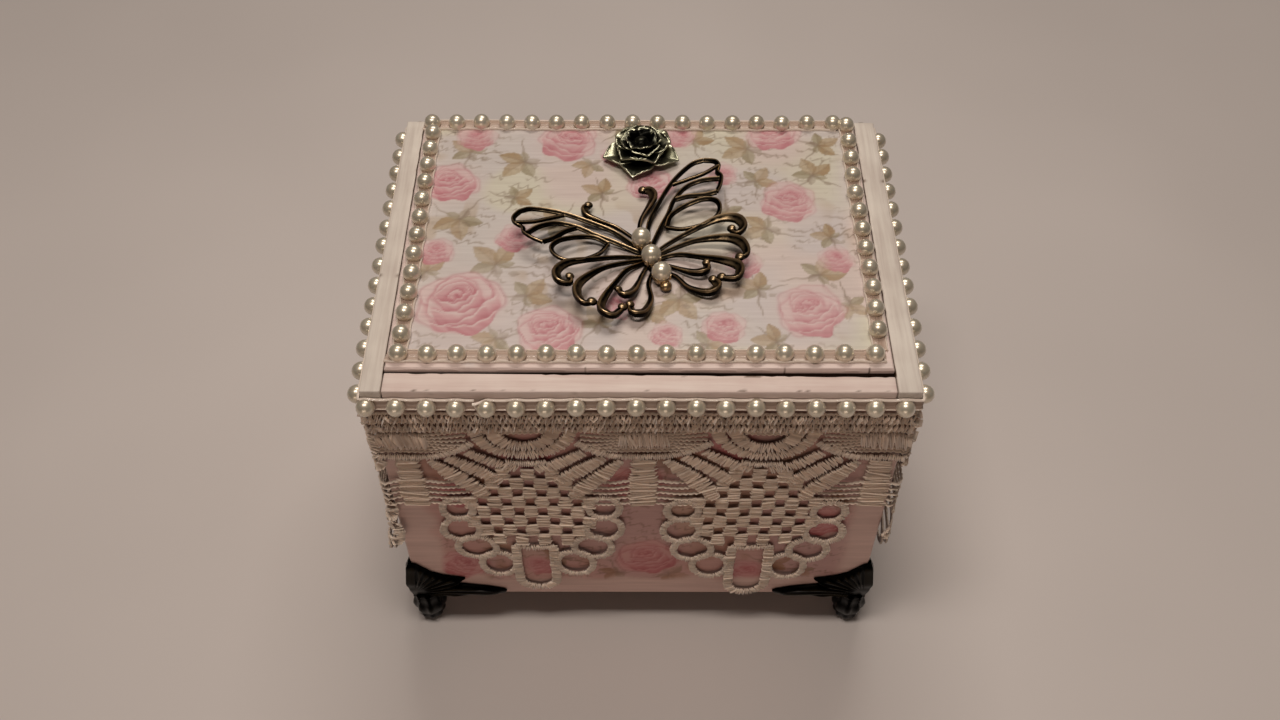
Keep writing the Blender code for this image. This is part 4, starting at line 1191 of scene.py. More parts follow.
# %% Lay the last length round the frame
FRAME_HALF_WIDTH = frame_high[0]
FRAME_DEPTH = frame_high[1] - frame_low[1]
BOX_TAPE_HEIGHT = FRAME_TOP - 5.0
TAPE_CORNER = 1.6
lap_length = 2 * (2 * FRAME_HALF_WIDTH) + 2 * FRAME_DEPTH + 4 * TAPE_CORNER


def box_mapping(points):
    """Lays the tape round the frame, a little wavy, with its first end curling off."""
    way = (points[:, 0] + lap_length / 2) % lap_length - lap_length / 2
    curl = 1.4 * ease(TAPE_END + 3.5, TAPE_END, points[:, 0])
    x, y = around(way, points[:, 2] + 0.25 + curl, FRAME_HALF_WIDTH, FRAME_DEPTH, TAPE_CORNER)
    sag = 0.9 * (cloud(way, 0, 45, 9) - 0.5)
    return np.column_stack([x, y, BOX_TAPE_HEIGHT + points[:, 1] + sag])


# Pearls along the front, along one side, and from the corner to the middle of the back
front_pearls = np.linspace(-78.5, 75.5, 19)
corner_way = FRAME_HALF_WIDTH + TAPE_CORNER
side_pearls = np.linspace(corner_way + 3.2, corner_way + FRAME_DEPTH - 4.0, 14)
back_span = np.linspace(corner_way + FRAME_DEPTH + TAPE_CORNER + 3.5, lap_length / 2, 10)
all_pearls = np.concatenate([front_pearls, side_pearls, -side_pearls, back_span, -back_span[:-1]])
all_pearls = np.where(all_pearls < TAPE_END, all_pearls + lap_length, all_pearls)
box_end = TAPE_END + lap_length - 0.4
pearl_trim("pearls_round_box", "box_pearls", TAPE_END, box_end, sorted(all_pearls), box_mapping, slant=-0.35)
print(len(all_pearls), "pearls round the box")

# %% [markdown]
# ## Lace
#
# Heavy guipure lace is all thread: close satin stitches lie across every bar, and twisted cords span
# the gaps. So the lace is built from threads. One stitch is modelled as a small three-sided ridge with
# blunt ends, which is enough at this size and keeps thousands of them light. Each bar of the pattern
# is a path with a width, and stitches are copied along it, side by side, over a thin ribbon that holds
# them together. The ribbon is coloured dark, as painted shade in the gaps between the stitches. The
# pattern is drawn flat, six repeats long, and is then bent round the front, the sides and a little way
# onto the back.

# %% Lace thread
lace_thread = new_material("lace_thread", 0.80)
lace_shader = shader_of(lace_thread)
lace_shader.inputs["Sheen Weight"].default_value = 0.55
lace_shader.inputs["Subsurface Weight"].default_value = 0.10
lace_shader.inputs["Subsurface Radius"].default_value = (0.0010, 0.0007, 0.0005)
THREAD_IN_SHADE = (*linear((0.360, 0.240, 0.175)), 1)
THREAD_IN_LIGHT = (*linear((1.000, 0.930, 0.865)), 1)
# The thread's number mixes a random tone with painted shade and painted light.
thread_tone_and_light = attribute_of(lace_thread, "thread")
colour_with(lace_thread, mix_colours(lace_thread, thread_tone_and_light, THREAD_IN_SHADE, THREAD_IN_LIGHT))
bump_with(lace_thread, stretched_noise(lace_thread, 3500, detail=2), 0.35, 0.08)
print("finish:", lace_thread.name)

# %% One stitch
# The section goes across the thread and out. A ring is a place along the stitch and its height.
STITCH_SECTION = np.array([(-1.0, 0.0), (0.0, 1.0), (1.0, 0.0)])
STITCH_RINGS = ((-0.41, 0.95), (0.41, 0.95))


def one_stitch():
    """A ridge of unit size with a short slope at both ends: X across the bar, Y along it and Z out."""
    points = [(-0.5, 0, 0.0)]
    for x, top in STITCH_RINGS:
        points += [(x, a, top - 0.6 + 0.6 * o) for a, o in STITCH_SECTION]
    points.append((0.5, 0, 0.0))
    m, last = len(STITCH_SECTION), len(points) - 1
    faces = []
    for k in range(m):
        n = (k + 1) % m
        faces.append([0, 1 + n, 1 + k])
        for first in range(1, last - m, m):
            faces.append([first + k, first + n, first + m + n, first + m + k])
        faces.append([last, last - m + k, last - m + n])
    return np.array(points), faces


STITCH_POINTS, STITCH_FACES = one_stitch()
print("one stitch has", len(STITCH_FACES), "faces")

# %% [markdown]
# The sheet is stitched flat, along and down from its top edge. No two stitches are alike: each leans,
# reaches and rises a little more or less than the last, and is a little lighter or darker.

# %% A sheet being stitched
RIBBON_STEP, RIBBON_SHARE = 2.8, 0.74
CORD_STEP, CORD_THICK, CORD_TWIST, CORD_WAVER = 0.62, 0.85, 1.7, 0.24


def spread(values, count):
    """One number or several, spread evenly over a count of places."""
    knots = np.atleast_1d(np.asarray(values, float))
    return np.interp(np.linspace(0, 1, count), np.linspace(0, 1, len(knots)), knots)


def across_of(line):
    """The direction to the left of a flat line at each of its points."""
    ahead = headings(line)
    return np.column_stack([-ahead[:, 1], ahead[:, 0]])


class Lace:
    """Rows of stitches, ribbons under them and cords, with the lace's own random numbers."""

    def __init__(self, seed):
        self.rows, self.ribbons, self.cords = [], [], []
        self.rng = np.random.default_rng(seed)

    def satin(
        self, path, width, pitch=0.60, lean_deg=0.0, zigzag=False, height=1.0, thread=0.27, ribbon=True
    ):
        """Stitches side by side across a path. width is one number, or several along the path."""
        line = smooth_path(path, pitch) if len(path) > 2 else evenly(np.array(path, float), pitch)
        count = len(line)
        lean = np.full(count, math.radians(lean_deg))
        if zigzag:
            lean[::2] *= -1
        lean = lean + self.rng.normal(0, 0.12, count)
        heading = across_of(line) * np.cos(lean)[:, None] + headings(line) * np.sin(lean)[:, None]
        length = spread(width, count) / np.cos(lean) * self.rng.normal(1.0, 0.08, count)
        rise = height * self.rng.normal(1.0, 0.17, count)
        tone = self.rng.uniform(0.68, 1.0, count)
        self.rows.append(np.column_stack([line, heading, length, np.full(count, thread), rise, tone]))
        if ribbon:
            base = evenly(line, RIBBON_STEP)
            self.ribbons.append((base, spread(width, len(base)) * RIBBON_SHARE))

    def cord(self, path):
        """A thin twisted cord, wavering to and fro along its path."""
        line = smooth_path(path, CORD_STEP)
        turns = np.arange(len(line)) * CORD_STEP * math.tau / CORD_TWIST + self.rng.uniform(0, math.tau)
        waver = CORD_WAVER * np.sin(turns)
        self.cords.append((line + across_of(line) * waver[:, None], 0.45 + 0.2 * np.cos(turns)))


print("a cord turns once in", CORD_TWIST, "mm")

# %% [markdown]
# The pattern repeats every 72 mm. At the top of a repeat runs a heading of zigzag rows between cords.
# Under it lies a half-moon eye in a bowl of stitches, and a fat satin spindle joins the bowls. Cords
# fan out from the spindle's ends, and slanting leaves come down from it.

# %% Heading, bowl and spindle
PERIOD = 72.0
HALF = PERIOD / 2


def mirrored(path, side):
    return [(side * x, d) for x, d in path]


def stitch_heading(lace, left, right):
    """Rows of zigzag between cords along the top edge."""
    for drop, width in ((3.0, 3.4), (6.9, 3.2)):
        path = [(left, drop), (right, drop)]
        lace.satin(path, width, pitch=0.80, lean_deg=24, zigzag=True, height=1.5, thread=0.22)
        lace.satin(path, width * 0.9, pitch=1.9, lean_deg=-14, height=1.9, thread=0.22, ribbon=False)
    for drop in (0.9, 4.9, 8.9):
        lace.cord([(left, drop), ((left + right) / 2, drop + 0.25), (right, drop)])


def stitch_bowl(lace):
    """The eye and the two rows of its bowl."""
    inner = [(-9.6, 8.2), (-7.6, 12.6), (-4.2, 15.8), (0, 16.9), (4.2, 15.8), (7.6, 12.6), (9.6, 8.2)]
    lace.satin(inner, 4.6, pitch=0.62, height=1.15)
    outer = [(-14.6, 8.8), (-12.2, 14.2), (-7.2, 19.2), (0, 21.2), (7.2, 19.2), (12.2, 14.2), (14.6, 8.8)]
    lace.satin(outer, 4.2, pitch=0.62, height=0.95)
    lace.cord([(-6.2, 9.9), (0, 10.2), (6.2, 9.9)])
    lace.satin([(-6, 25.0), (0, 25.8), (6, 25.0)], 2.6)


def stitch_spindle(lace, axis):
    """The fat satin bar between two bowls."""
    path = [(axis - 7.2, 13.2), (axis + 7.2, 13.2)]
    lace.satin(path, (5.0, 7.2, 7.4, 5.0), pitch=0.50, lean_deg=8, height=1.9)


print("one repeat is", PERIOD, "mm long")


# %% Fans and leaves
def stitch_fans(lace, side):
    """Cords that fan out from the spindle's end to the bowl."""
    for k in range(5):
        fan = (k - 2) / 2
        near, far = 13.2 + 2.5 * fan, 13.0 + 4.4 * fan
        path = [(HALF, near), (28.6, near), (23, (near + far) / 2 + 0.3), (17.0, far)]
        lace.cord(mirrored(path, side))
    for drop in (17.6, 19.0):
        lace.cord(mirrored([(HALF, drop), (28, drop - 0.2), (20.5, drop - 1.6)], side))
    lace.satin(mirrored([(HALF, 22.2), (28.5, 21.6), (21.5, 18.8), (15.8, 14.6)], side), 2.7)


def stitch_leaves(lace, side):
    """Three slanting bars between the bowl and the upright petal."""
    lace.satin(mirrored([(17.4, 19.4), (10.5, 25.0), (3.2, 28.6)], side), (3.4, 4.8, 3.6))
    lace.satin(mirrored([(23.6, 22.2), (16.0, 28.8), (8.4, 35.4)], side), (3.8, 6.0, 4.4))
    lace.satin(mirrored([(29.0, 24.2), (23.2, 31.0), (17.8, 37.6), (13.6, 43.6)], side), (2.8, 6.6, 7.4, 4.2))


# %% [markdown]
# An upright petal stands under each spindle. In the middle of the repeat hangs a pineapple net with
# square holes, edged with round loops and ending in one long loop. The loops hang a little unevenly
# from repeat to repeat, which skew sets.


# %% Petal, rungs and net
NET_COLUMN, NET_ROW = 7.5, 5.35
NET_TOP = 31.5
NET_REACH = (8.0, 11.5, 15.0, 19.0, 19.0, 19.5, 16.0, 13.0)
# Depth at the petal and reach from the net of each twisted cord between them
RUNGS = ((35.4, 23.0), (38.4, 20.8), (41.4, 18.6), (44.4, 16.8), (47.6, 19.5))


def stitch_petal(lace, axis):
    lace.satin([(axis, 24.0), (axis, 36.0), (axis, 48.4)], (7.4, 8.8, 9.4, 8.8), height=0.9)


def stitch_rungs(lace, side):
    """Twisted cords from the petal to the net."""
    for drop, reach in RUNGS:
        path = [(HALF, drop), (31, drop), ((31 + reach) / 2, drop + 0.7), (reach, drop + 0.2)]
        lace.cord(mirrored(path, side))


def stitch_net(lace):
    """Columns of stitches, staggered like bricks, so that square holes are left between them."""
    for row, reach in enumerate(NET_REACH):
        drop = NET_TOP + row * NET_ROW
        shift = 0.0 if row % 2 == 0 else NET_COLUMN / 2
        count = math.ceil(reach / NET_COLUMN) + 1
        for k in range(-count, count + 1):
            x = k * NET_COLUMN + shift
            if abs(x) <= reach:
                half = NET_ROW / 2 + 0.15
                lace.satin([(x, drop - half), (x, drop + half)], 4.7, height=0.8)


print("the net has", len(NET_REACH), "rows and", len(RUNGS), "rungs on each side")

# %% Loops
# Across and down from the net's axis, and the loop's half width and half height
RIM_LOOPS = ((23.6, 51.8, 5.0, 5.8), (23.4, 63.6, 5.9, 6.6), (19.4, 75.0, 6.3, 6.6), (13.0, 85.6, 6.0, 7.4))


def stitch_loops(lace, side, skew):
    """Round loops down one side of the net."""
    for x, drop, rx, ry in RIM_LOOPS:
        angles = np.linspace(0, math.tau, 13)[:-1]
        ring = [(x + rx * math.cos(a), drop + skew + ry * math.sin(a)) for a in angles]
        ring.append(ring[0])
        lace.satin(mirrored(ring, side), 2.6, height=0.8)


def stitch_tail(lace, skew):
    """The long loop at the tip."""
    bottom = 96.6 + skew
    turn = [(6.3 * math.cos(a), bottom + 6.3 * math.sin(a)) for a in np.linspace(0, math.pi, 9)]
    path = [(6.3, 73.5), (6.4, 85.0)] + turn + [(-6.4, 85.0), (-6.3, 73.5)]
    lace.satin(path, 3.5, height=0.9)
    lace.satin([(-6.5, 73.6), (0, 74.4), (6.5, 73.6)], 2.4)


# %% A whole repeat
def stitch_repeat(seed, skew):
    """All of one repeat, in the order in which its random numbers are drawn."""
    lace = Lace(seed)
    stitch_heading(lace, -HALF, HALF)
    stitch_bowl(lace)
    stitch_spindle(lace, HALF)
    stitch_petal(lace, HALF)
    stitch_net(lace)
    for side in (-1, 1):
        stitch_fans(lace, side)
        stitch_leaves(lace, side)
        stitch_rungs(lace, side)
        stitch_loops(lace, side, skew * (0.5 + 0.3 * side))
    stitch_tail(lace, skew)
    return lace


print("one repeat has", len(stitch_repeat(0, 0.0).rows), "bars")

# %% [markdown]
# Stitches, ribbons and cords become points and faces. Each point also gets a number, its tone, which
# varies at random from stitch to stitch and also carries painted shade and light: it is low on the
# ribbons, the stitches' ends and the cords' sides, and high on the cords' tops.


# %% From stitches to a mesh
RIBBON_SECTION = np.array([(-0.5, 0.05), (-0.40, 0.34), (0.40, 0.34), (0.5, 0.05)])
CORD_SECTION = np.array([(-0.5, 0.15), (0.0, 1.0), (0.5, 0.15)])
# The ribbons under the stitches are coloured dark, as painted shade.
RIBBON_PAINTED_SHADE = 0.03
# A cord is painted light on its top and painted shade at its two sides.
CORD_PAINTED_LIGHT_AND_SHADE = [0.40, 1.0, 0.40]
STITCH_BED, CORD_BED = 0.12, 0.45


def stitch_mesh(rows):
    """Every stitch as a copy of the one stitch, at once."""
    centre, heading = rows[:, 0:2], rows[:, 2:4]
    along = np.column_stack([-heading[:, 1], heading[:, 0]])
    length, thread, rise, tone = rows[:, 4:].T
    x, y, z = STITCH_POINTS.T
    plan = centre[:, None] + (length[:, None] * x)[..., None] * heading[:, None]
    plan = plan + (thread[:, None] * y)[..., None] * along[:, None]
    out = rise[:, None] * z + STITCH_BED
    points = np.concatenate([plan, out[..., None]], axis=2).reshape(-1, 3)
    count = len(STITCH_POINTS)
    faces = [[first + i for i in face] for first in range(0, len(points), count) for face in STITCH_FACES]
    # A stitch's ends are darker, as painted shade where they dip between their neighbours.
    ends = 1 - 0.25 * (np.abs(x) > 0.45)
    return points, faces, (tone[:, None] * ends).ravel()


def strip_mesh(line, widths, section, heights):
    """A flat strip along a path in the sheet's plane."""
    plan = line[:, None] + (widths[:, None] * section[None, :, 0])[..., None] * across_of(line)[:, None]
    out = heights[:, None] * section[None, :, 1]
    points = np.concatenate([plan, out[..., None]], axis=2).reshape(-1, 3)
    return points, skin_faces(len(line), len(section))


# %% One flat repeat
def flat_repeat(lace):
    """One repeat of lace as points, faces and the tone of each point."""
    points, faces, tones = stitch_mesh(np.vstack(lace.rows))
    parts, values = [(points, faces)], [tones]
    for line, widths in lace.ribbons:
        parts.append(strip_mesh(line, widths, RIBBON_SECTION, np.ones(len(line))))
        values.append(np.full(len(parts[-1][0]), RIBBON_PAINTED_SHADE))
    for line, heights in lace.cords:
        parts.append(strip_mesh(line, np.full(len(line), CORD_THICK), CORD_SECTION, heights + CORD_BED))
        values.append(np.tile(CORD_PAINTED_LIGHT_AND_SHADE, len(line)))
    points, faces = joined(parts)
    return points, faces, np.concatenate(values)


# %% [markdown]
# Now the sheet is hung. Lace is never quite flat, so it wavers in its plane and stands off the wall
# by one to about three millimetres. On the sides it hangs a little slack, and its lower part leans
# out to clear the feet. Each repeat has a spindle and a petal at its right edge only, so one more of
# each closes the left edge of the first.

# %% Hang the lace
TAIL_SKEWS = (0.0, -1.0, -1.6, 1.4, 0.4, -0.6)
REPEATS = len(TAIL_SKEWS)
LACE_MIDDLE = 1.0
LACE_TOP = FRAME_TOP - 9.5
LACE_CORNER = 1.4
WALL_HALF_WIDTH = wall_high[0]
WALL_DEPTH = wall_high[1] - wall_low[1]
BAND_DEPTH = 47.5


def hang_lace(points):
    """From the flat sheet to the box: round its corners, and clear of the feet at the sides."""
    way, drop, out = points.T
    way = way + 0.8 * (cloud(way, drop, 17, 91) - 0.5)
    drop = drop + 0.9 * (cloud(way, drop, 23, 92) - 0.5) * ease(0, 20, drop)
    before_corner = WALL_HALF_WIDTH - np.abs(way)
    slack = 1.3 * ease(3, -3, before_corner) * ease(-115, -100, before_corner) * ease(0, 6, drop)
    lean = 0.075 * ease(16, 6, before_corner) * np.maximum(drop - BAND_DEPTH, 0)
    ripple = 0.8 * ease(2, 14, drop) * cloud(way, drop, 15, 93) ** 2
    out = 0.7 + out + lean + ripple + slack
    x, y = around(way, out, WALL_HALF_WIDTH, WALL_DEPTH, LACE_CORNER)
    return np.column_stack([x, y, LACE_TOP - drop])


# %% Sew the repeats together
repeat_parts, lace_tones = [], []
for k, skew in enumerate(TAIL_SKEWS):
    middle = (k - (REPEATS - 1) / 2) * PERIOD + LACE_MIDDLE
    points, faces, tones = flat_repeat(stitch_repeat(100 + k, skew))
    repeat_parts.append((points + [middle, 0, 0], faces))
    lace_tones.append(tones)
closing = Lace(99)
stitch_spindle(closing, 0)
stitch_petal(closing, 0)
points, faces, tones = stitch_mesh(np.vstack(closing.rows))
repeat_parts.append((points + [LACE_MIDDLE - REPEATS / 2 * PERIOD, 0, 0], faces))
lace_tones.append(tones)
lace_points, lace_faces = joined(repeat_parts)
lace_trim = piece_from("guipure_lace", hang_lace(lace_points), lace_faces)
give_number(lace_trim, "thread", np.concatenate(lace_tones))
face_outwards(lace_trim)
dress(lace_trim, lace_thread, "lace", "lace_trim", smooth_deg=70)

# %% [markdown]
# ## Old metal
#
# The charms and feet are cast, plated dark and rubbed bright on whatever stands proud. Each piece
# carries a number called crest, 0 in its hollows and 1 or more on its ridges, and the material turns
# that into dark recesses and rubbed metal. Soft patches are added, so that the rubbing is uneven.


# %% Rubbed metal
def rubbed_metal(name, dark, worn, roughness, break_low, break_high):
    """Metal that turns from dark to worn as crest and patches rise from break_low to break_high."""
    material = new_material(name, roughness, metallic=1.0)
    crest = attribute_of(material, "crest")
    patches = stretched_noise(material, 350, detail=4)
    blend = add_node(material, "ShaderNodeMath", operation="MULTIPLY_ADD")
    link(material, patches, blend.inputs[0])
    blend.inputs[1].default_value = 0.5
    link(material, crest, blend.inputs[2])
    shades = ((break_low, linear(dark)), (break_high, linear(worn)))
    colour_with(material, ramp_of(material, blend.outputs[0], shades))
    bump_with(material, stretched_noise(material, 1800), 0.18, 0.06)
    print("finish:", name)
    return material


antique_brass = rubbed_metal("antique_brass", (0.040, 0.031, 0.022), (0.80, 0.69, 0.54), 0.31, 0.42, 1.50)
antique_pewter = rubbed_metal("antique_pewter", (0.05, 0.05, 0.043), (0.70, 0.70, 0.61), 0.30, 0.45, 1.50)
dark_bronze = rubbed_metal("dark_bronze", (0.012, 0.010, 0.008), (0.11, 0.095, 0.07), 0.33, 0.70, 1.40)

# %% [markdown]
# ## The butterfly
#
# The butterfly is one casting of open bars. Each bar has one rubbed ridge, on the outer side of its
# curl, and a hollow inside it. So a section with a ridge on one side is swept along the bar's path. A
# scroll swells into a broad lobe before it ends, and a boss closes it. One wing's bars are drawn and
# mirrored, and the wings rise from the body.

# %% Bars of a wing
WING_BARS = {
    "antenna": ((0.7, 9.5), (4.0, 15.8), (8.5, 19.8), (11.2, 22.5), (11.2, 25.7), (9.2, 27.2)),
    "leading_edge": ((1.2, 4.0), (5.5, 13.0), (11.5, 19.3), (19.0, 25.5), (27.0, 29.2), (31.4, 28.9)),
    "tip": (
        (31.4, 28.9), (34.2, 26.6), (34.6, 24.2), (33.0, 21.7), (33.3, 19.5), (31.6, 16.5), (29.2, 14.0),
    ),
    "tip_branch": ((18.6, 24.6), (24.0, 24.0), (29.2, 23.6), (34.5, 24.4)),
    "middle_bar": (
        (0.8, 2.0), (8.0, 9.6), (12.3, 13.6), (16.4, 18.1), (22.0, 21.2), (27.5, 21.0), (32.4, 18.8),
    ),
    "lower_branch": ((16.9, 18.0), (20.7, 17.2), (25.2, 15.0), (29.2, 14.0)),
    "oval": (
        (9.8, 9.0), (13.0, 12.6), (18.3, 13.9), (24.0, 13.6), (27.4, 11.3),
        (27.6, 8.0), (25.2, 5.0), (20.5, 4.0), (14.0, 5.6), (9.8, 9.0),
    ),
    "scroll_1": (
        (1.5, 0.8), (8.0, 2.4), (15.0, 3.2), (24.5, 3.4),
        (29.6, 0.6), (30.3, -3.4), (27.6, -4.9), (26.6, -2.6),
    ),
    "scroll_2": (
        (1.5, -0.4), (8.0, -0.2), (16.0, -1.2), (24.0, -5.2), (27.0, -9.4), (26.6, -13.6), (24.0, -14.2),
    ),
    "scroll_3": (
        (1.5, -1.4), (8.0, -3.0), (13.0, -6.8), (19.4, -12.8), (22.4, -17.4), (20.0, -20.6), (16.0, -18.4),
    ),
    "scroll_4": ((1.2, -2.4), (5.0, -6.6), (9.8, -12.2), (13.4, -13.4), (14.4, -10.9)),
    "scroll_5": ((1.2, -6.0), (4.4, -10.5), (6.2, -16.8), (10.3, -21.4), (13.8, -20.9), (13.4, -17.8)),
}
BOSSES = {"antenna": 1.5, "scroll_1": 1.5, "scroll_2": 1.7, "scroll_3": 1.6, "scroll_4": 1.4, "scroll_5": 1.5}
# Across, height, rub of a bar and extra rub of a broad one, from a curl's inside over its ridge
BAR_LINE = (
    (-0.95, 0.0, 0.0, 0.0), (-1.05, 0.55, 0.0, 0.1), (-0.80, 0.85, 0.25, 0.2), (-0.30, 0.98, 0.0, 0.25),
    (0.05, 1.15, 0.0, 0.2), (0.34, 1.50, 0.6, 0.1), (0.52, 1.62, 1.3, 0.0), (0.70, 1.52, 0.6, 0.0),
    (0.95, 1.00, 0.0, 0.0), (0.90, 0.0, 0.0, 0.0),
)
# Shares of a scroll's length, and its widths there
SCROLL_WIDTHS = ((0.0, 0.40, 0.80, 1.0), (0.64, 0.76, 1.45, 0.95))

bpy.ops.mesh.primitive_uv_sphere_add(segments=16, ring_count=10, radius=MM)
ball = bpy.context.object
BALL_POINTS, BALL_FACES = points_of(ball), faces_of(ball)
bpy.data.objects.remove(ball, do_unlink=True)
print("a wing has", len(WING_BARS), "bars and", len(BOSSES), "bosses")


# %% One bar of a wing
BUTTERFLY_PLACE = (2.3, -8.0)
BUTTERFLY_TURN = math.radians(22.5)
WING_RISE = 0.19
BODY_HALF = 2.1
BAR_WIDTH = 0.74
CHARM_BED = LID_TOP + 0.3


def butterfly_plan(points):
    """From the butterfly's own plan to the lid, with its wings lifted."""
    across, ahead, up = points.T
    c, s = math.cos(BUTTERFLY_TURN), math.sin(BUTTERFLY_TURN)
    x = BUTTERFLY_PLACE[0] + across * c - ahead * s
    y = BUTTERFLY_PLACE[1] + across * s + ahead * c
    lift = WING_RISE * np.maximum(np.abs(across) - BODY_HALF, 0)
    return np.column_stack([x, y, CHARM_BED + up + lift])


def bar_section(facing):
    """The bar's section and how it is rubbed, with its ridge on the side that faces out of the curl."""
    across, height, narrow, broad = np.array(BAR_LINE).T
    order = slice(None) if facing > 0 else slice(None, None, -1)
    return np.column_stack([across * facing, height])[order], narrow[order], broad[order]


def curls_left(line):
    """Whether a path turns to its left on the whole."""
    heading = np.unwrap(np.arctan2(np.diff(line[:, 1]), np.diff(line[:, 0])))
    return heading[-1] > heading[0]


def wing_bar(path, side, boss):
    """One swept bar, with its boss if it has one."""
    line = smooth_path(path, 0.7)
    line = np.column_stack([line[:, 0] * side, line[:, 1], np.zeros(len(line))])
    widths = np.full(len(line), BAR_WIDTH)
    if boss:
        widths = np.interp(np.linspace(0, 1, len(line)), *SCROLL_WIDTHS)
    section, narrow, broad = bar_section(1 if curls_left(line) else -1)
    parts = [sweep(line, section, widths)]
    crests = [(narrow + broad * ease(0.85, 1.25, widths)[:, None]).ravel()]
    if boss:
        dome = BALL_POINTS * [boss * 0.92, boss * 0.92, boss * 0.62]
        dome[:, 2] = np.maximum(dome[:, 2] + 0.90, 0)
        crests.append(0.45 * ease(0.9, 1.8, dome[:, 2]))
        parts.append((dome + line[-1], BALL_FACES))
    return parts, crests


# %% Cast the bars and the body
butterfly_parts, butterfly_crests = [], []
for side in (-1, 1):
    for bar_name, path in WING_BARS.items():
        parts, crests = wing_bar(path, side, BOSSES.get(bar_name))
        butterfly_parts += parts
        butterfly_crests += crests
body_steps = 30
body_line = np.zeros((body_steps, 3))
body_line[:, 1] = np.linspace(10.2, -11.6, body_steps)
body_widths = 1.55 + 0.55 * np.sin(np.linspace(0, math.pi, body_steps))
body_section, body_rub = bar_section(1)[:2]
butterfly_parts.append(sweep(body_line, body_section * [1.0, 0.72], body_widths))
butterfly_crests.append(np.tile(body_rub * 0.6, body_steps))
knob = BALL_POINTS * [1.9, 1.9, 1.7]
knob[:, 2] = np.maximum(knob[:, 2] + 1.0, 0)
butterfly_parts.append((knob + [0, -13.4, 0], BALL_FACES))
butterfly_crests.append(np.clip(knob[:, 2] / 2.7, 0, 1))
print("the butterfly has", len(butterfly_parts), "parts before its cups")

# %% [markdown]
# The three pearls sit in shallow cups along the body. A cup is spun from a short profile, and four
# bright claws on its rim hold the pearl.

# %% Cups
PEARL_STATIONS = (5.8, -2.1, -10.0)
CUP_SIDES = 28
CLAWS, CLAW_REACH = 4, 2.85
# Distance from the cup's axis and height, and how the profile is rubbed
CUP_PROFILE = (
    (0.6, 1.0), (2.1, 1.1), (2.55, 1.9), (2.75, 2.5), (2.95, 2.45), (2.8, 1.6), (2.4, 0.5), (1.9, 0.0),
)
CUP_RUB = (0, 0, 0.3, 0.9, 1.0, 0.7, 0.3, 0.1)


def spun(profile, sides):
    """A closed ring of a profile turned round the Z axis."""
    angles = np.arange(sides) * math.tau / sides
    points = [(r * math.cos(a), r * math.sin(a), z) for a in angles for r, z in profile]
    return np.array(points), skin_faces(sides, len(profile), endless=True)


for station in PEARL_STATIONS:
    cup_points, cup_faces = spun(CUP_PROFILE, CUP_SIDES)
    butterfly_parts.append((cup_points + [0, station, 0.2], cup_faces))
    butterfly_crests.append(np.tile(CUP_RUB, CUP_SIDES))
    for k in range(CLAWS):
        angle = math.tau * (k + 0.5) / CLAWS
        root = [CLAW_REACH * math.cos(angle), station + CLAW_REACH * math.sin(angle), 2.5]
        claw = BALL_POINTS * [0.42, 0.42, 1.0] + root
        butterfly_parts.append((claw, BALL_FACES))
        butterfly_crests.append(np.full(len(claw), 2.0))
butterfly_points, butterfly_faces = joined(butterfly_parts)
butterfly = piece_from("cast_butterfly", butterfly_plan(butterfly_points), butterfly_faces)
give_number(butterfly, "crest", np.concatenate(butterfly_crests))
face_outwards(butterfly)
dress(butterfly, antique_brass, "antique_brass", "butterfly", smooth_deg=50)

# %% [markdown]
# The body's pearls are whole balls of the same skin as the others. Each stands for a solid of its own,
# so its place is read off that solid, and its top is as high as the solid's.

# %% Body pearls
BODY_PEARL_RADIUS = 3.0
PEARL_NODES = ("butterfly_pearl_head", "butterfly_pearl_middle", "butterfly_pearl_tail")
for node in PEARL_NODES:
    bpy.ops.mesh.primitive_uv_sphere_add(segments=32, ring_count=20, radius=BODY_PEARL_RADIUS * MM)
    pearl = bpy.context.object
    pearl.name = node.replace("butterfly_pearl", "set_pearl")
    centre = [*middle_of(node)[:2], box_of(node)[1][2] - BODY_PEARL_RADIUS]
    set_points(pearl, points_of(pearl) + centre)
    dress(pearl, pearl_skin, "pearl", node, smooth_deg=60)

# %% [markdown]
# ## The rose
#
# The rose is built as a jeweller would, petal by petal. A petal is a small grid, cupped across its
# width and raised at its rim, with a point at its tip. Two rings of five lie open, two of three stand
# up inside them, and a ball is the bud. Solidify gives the metal its thickness, and one step of
# subdivision rounds it as a casting is round.

# %% Petals
PETAL_STEPS = 16
# Reach, half width, height of root, middle and tip, how far the sides rise, rub, first angle and count
PETAL_RINGS = (
    (12.0, 5.9, 0.4, 1.2, 2.0, 1.3, 0.85, 46, 5),
    (9.0, 5.2, 1.0, 3.0, 4.6, 2.0, 0.55, 10, 5),
    (6.6, 5.0, 1.6, 6.0, 5.6, 1.3, 0.30, 50, 3),
    (4.8, 4.2, 2.6, 8.2, 6.4, 0.8, 0.20, 105, 3),
)
BROADEST = 0.62


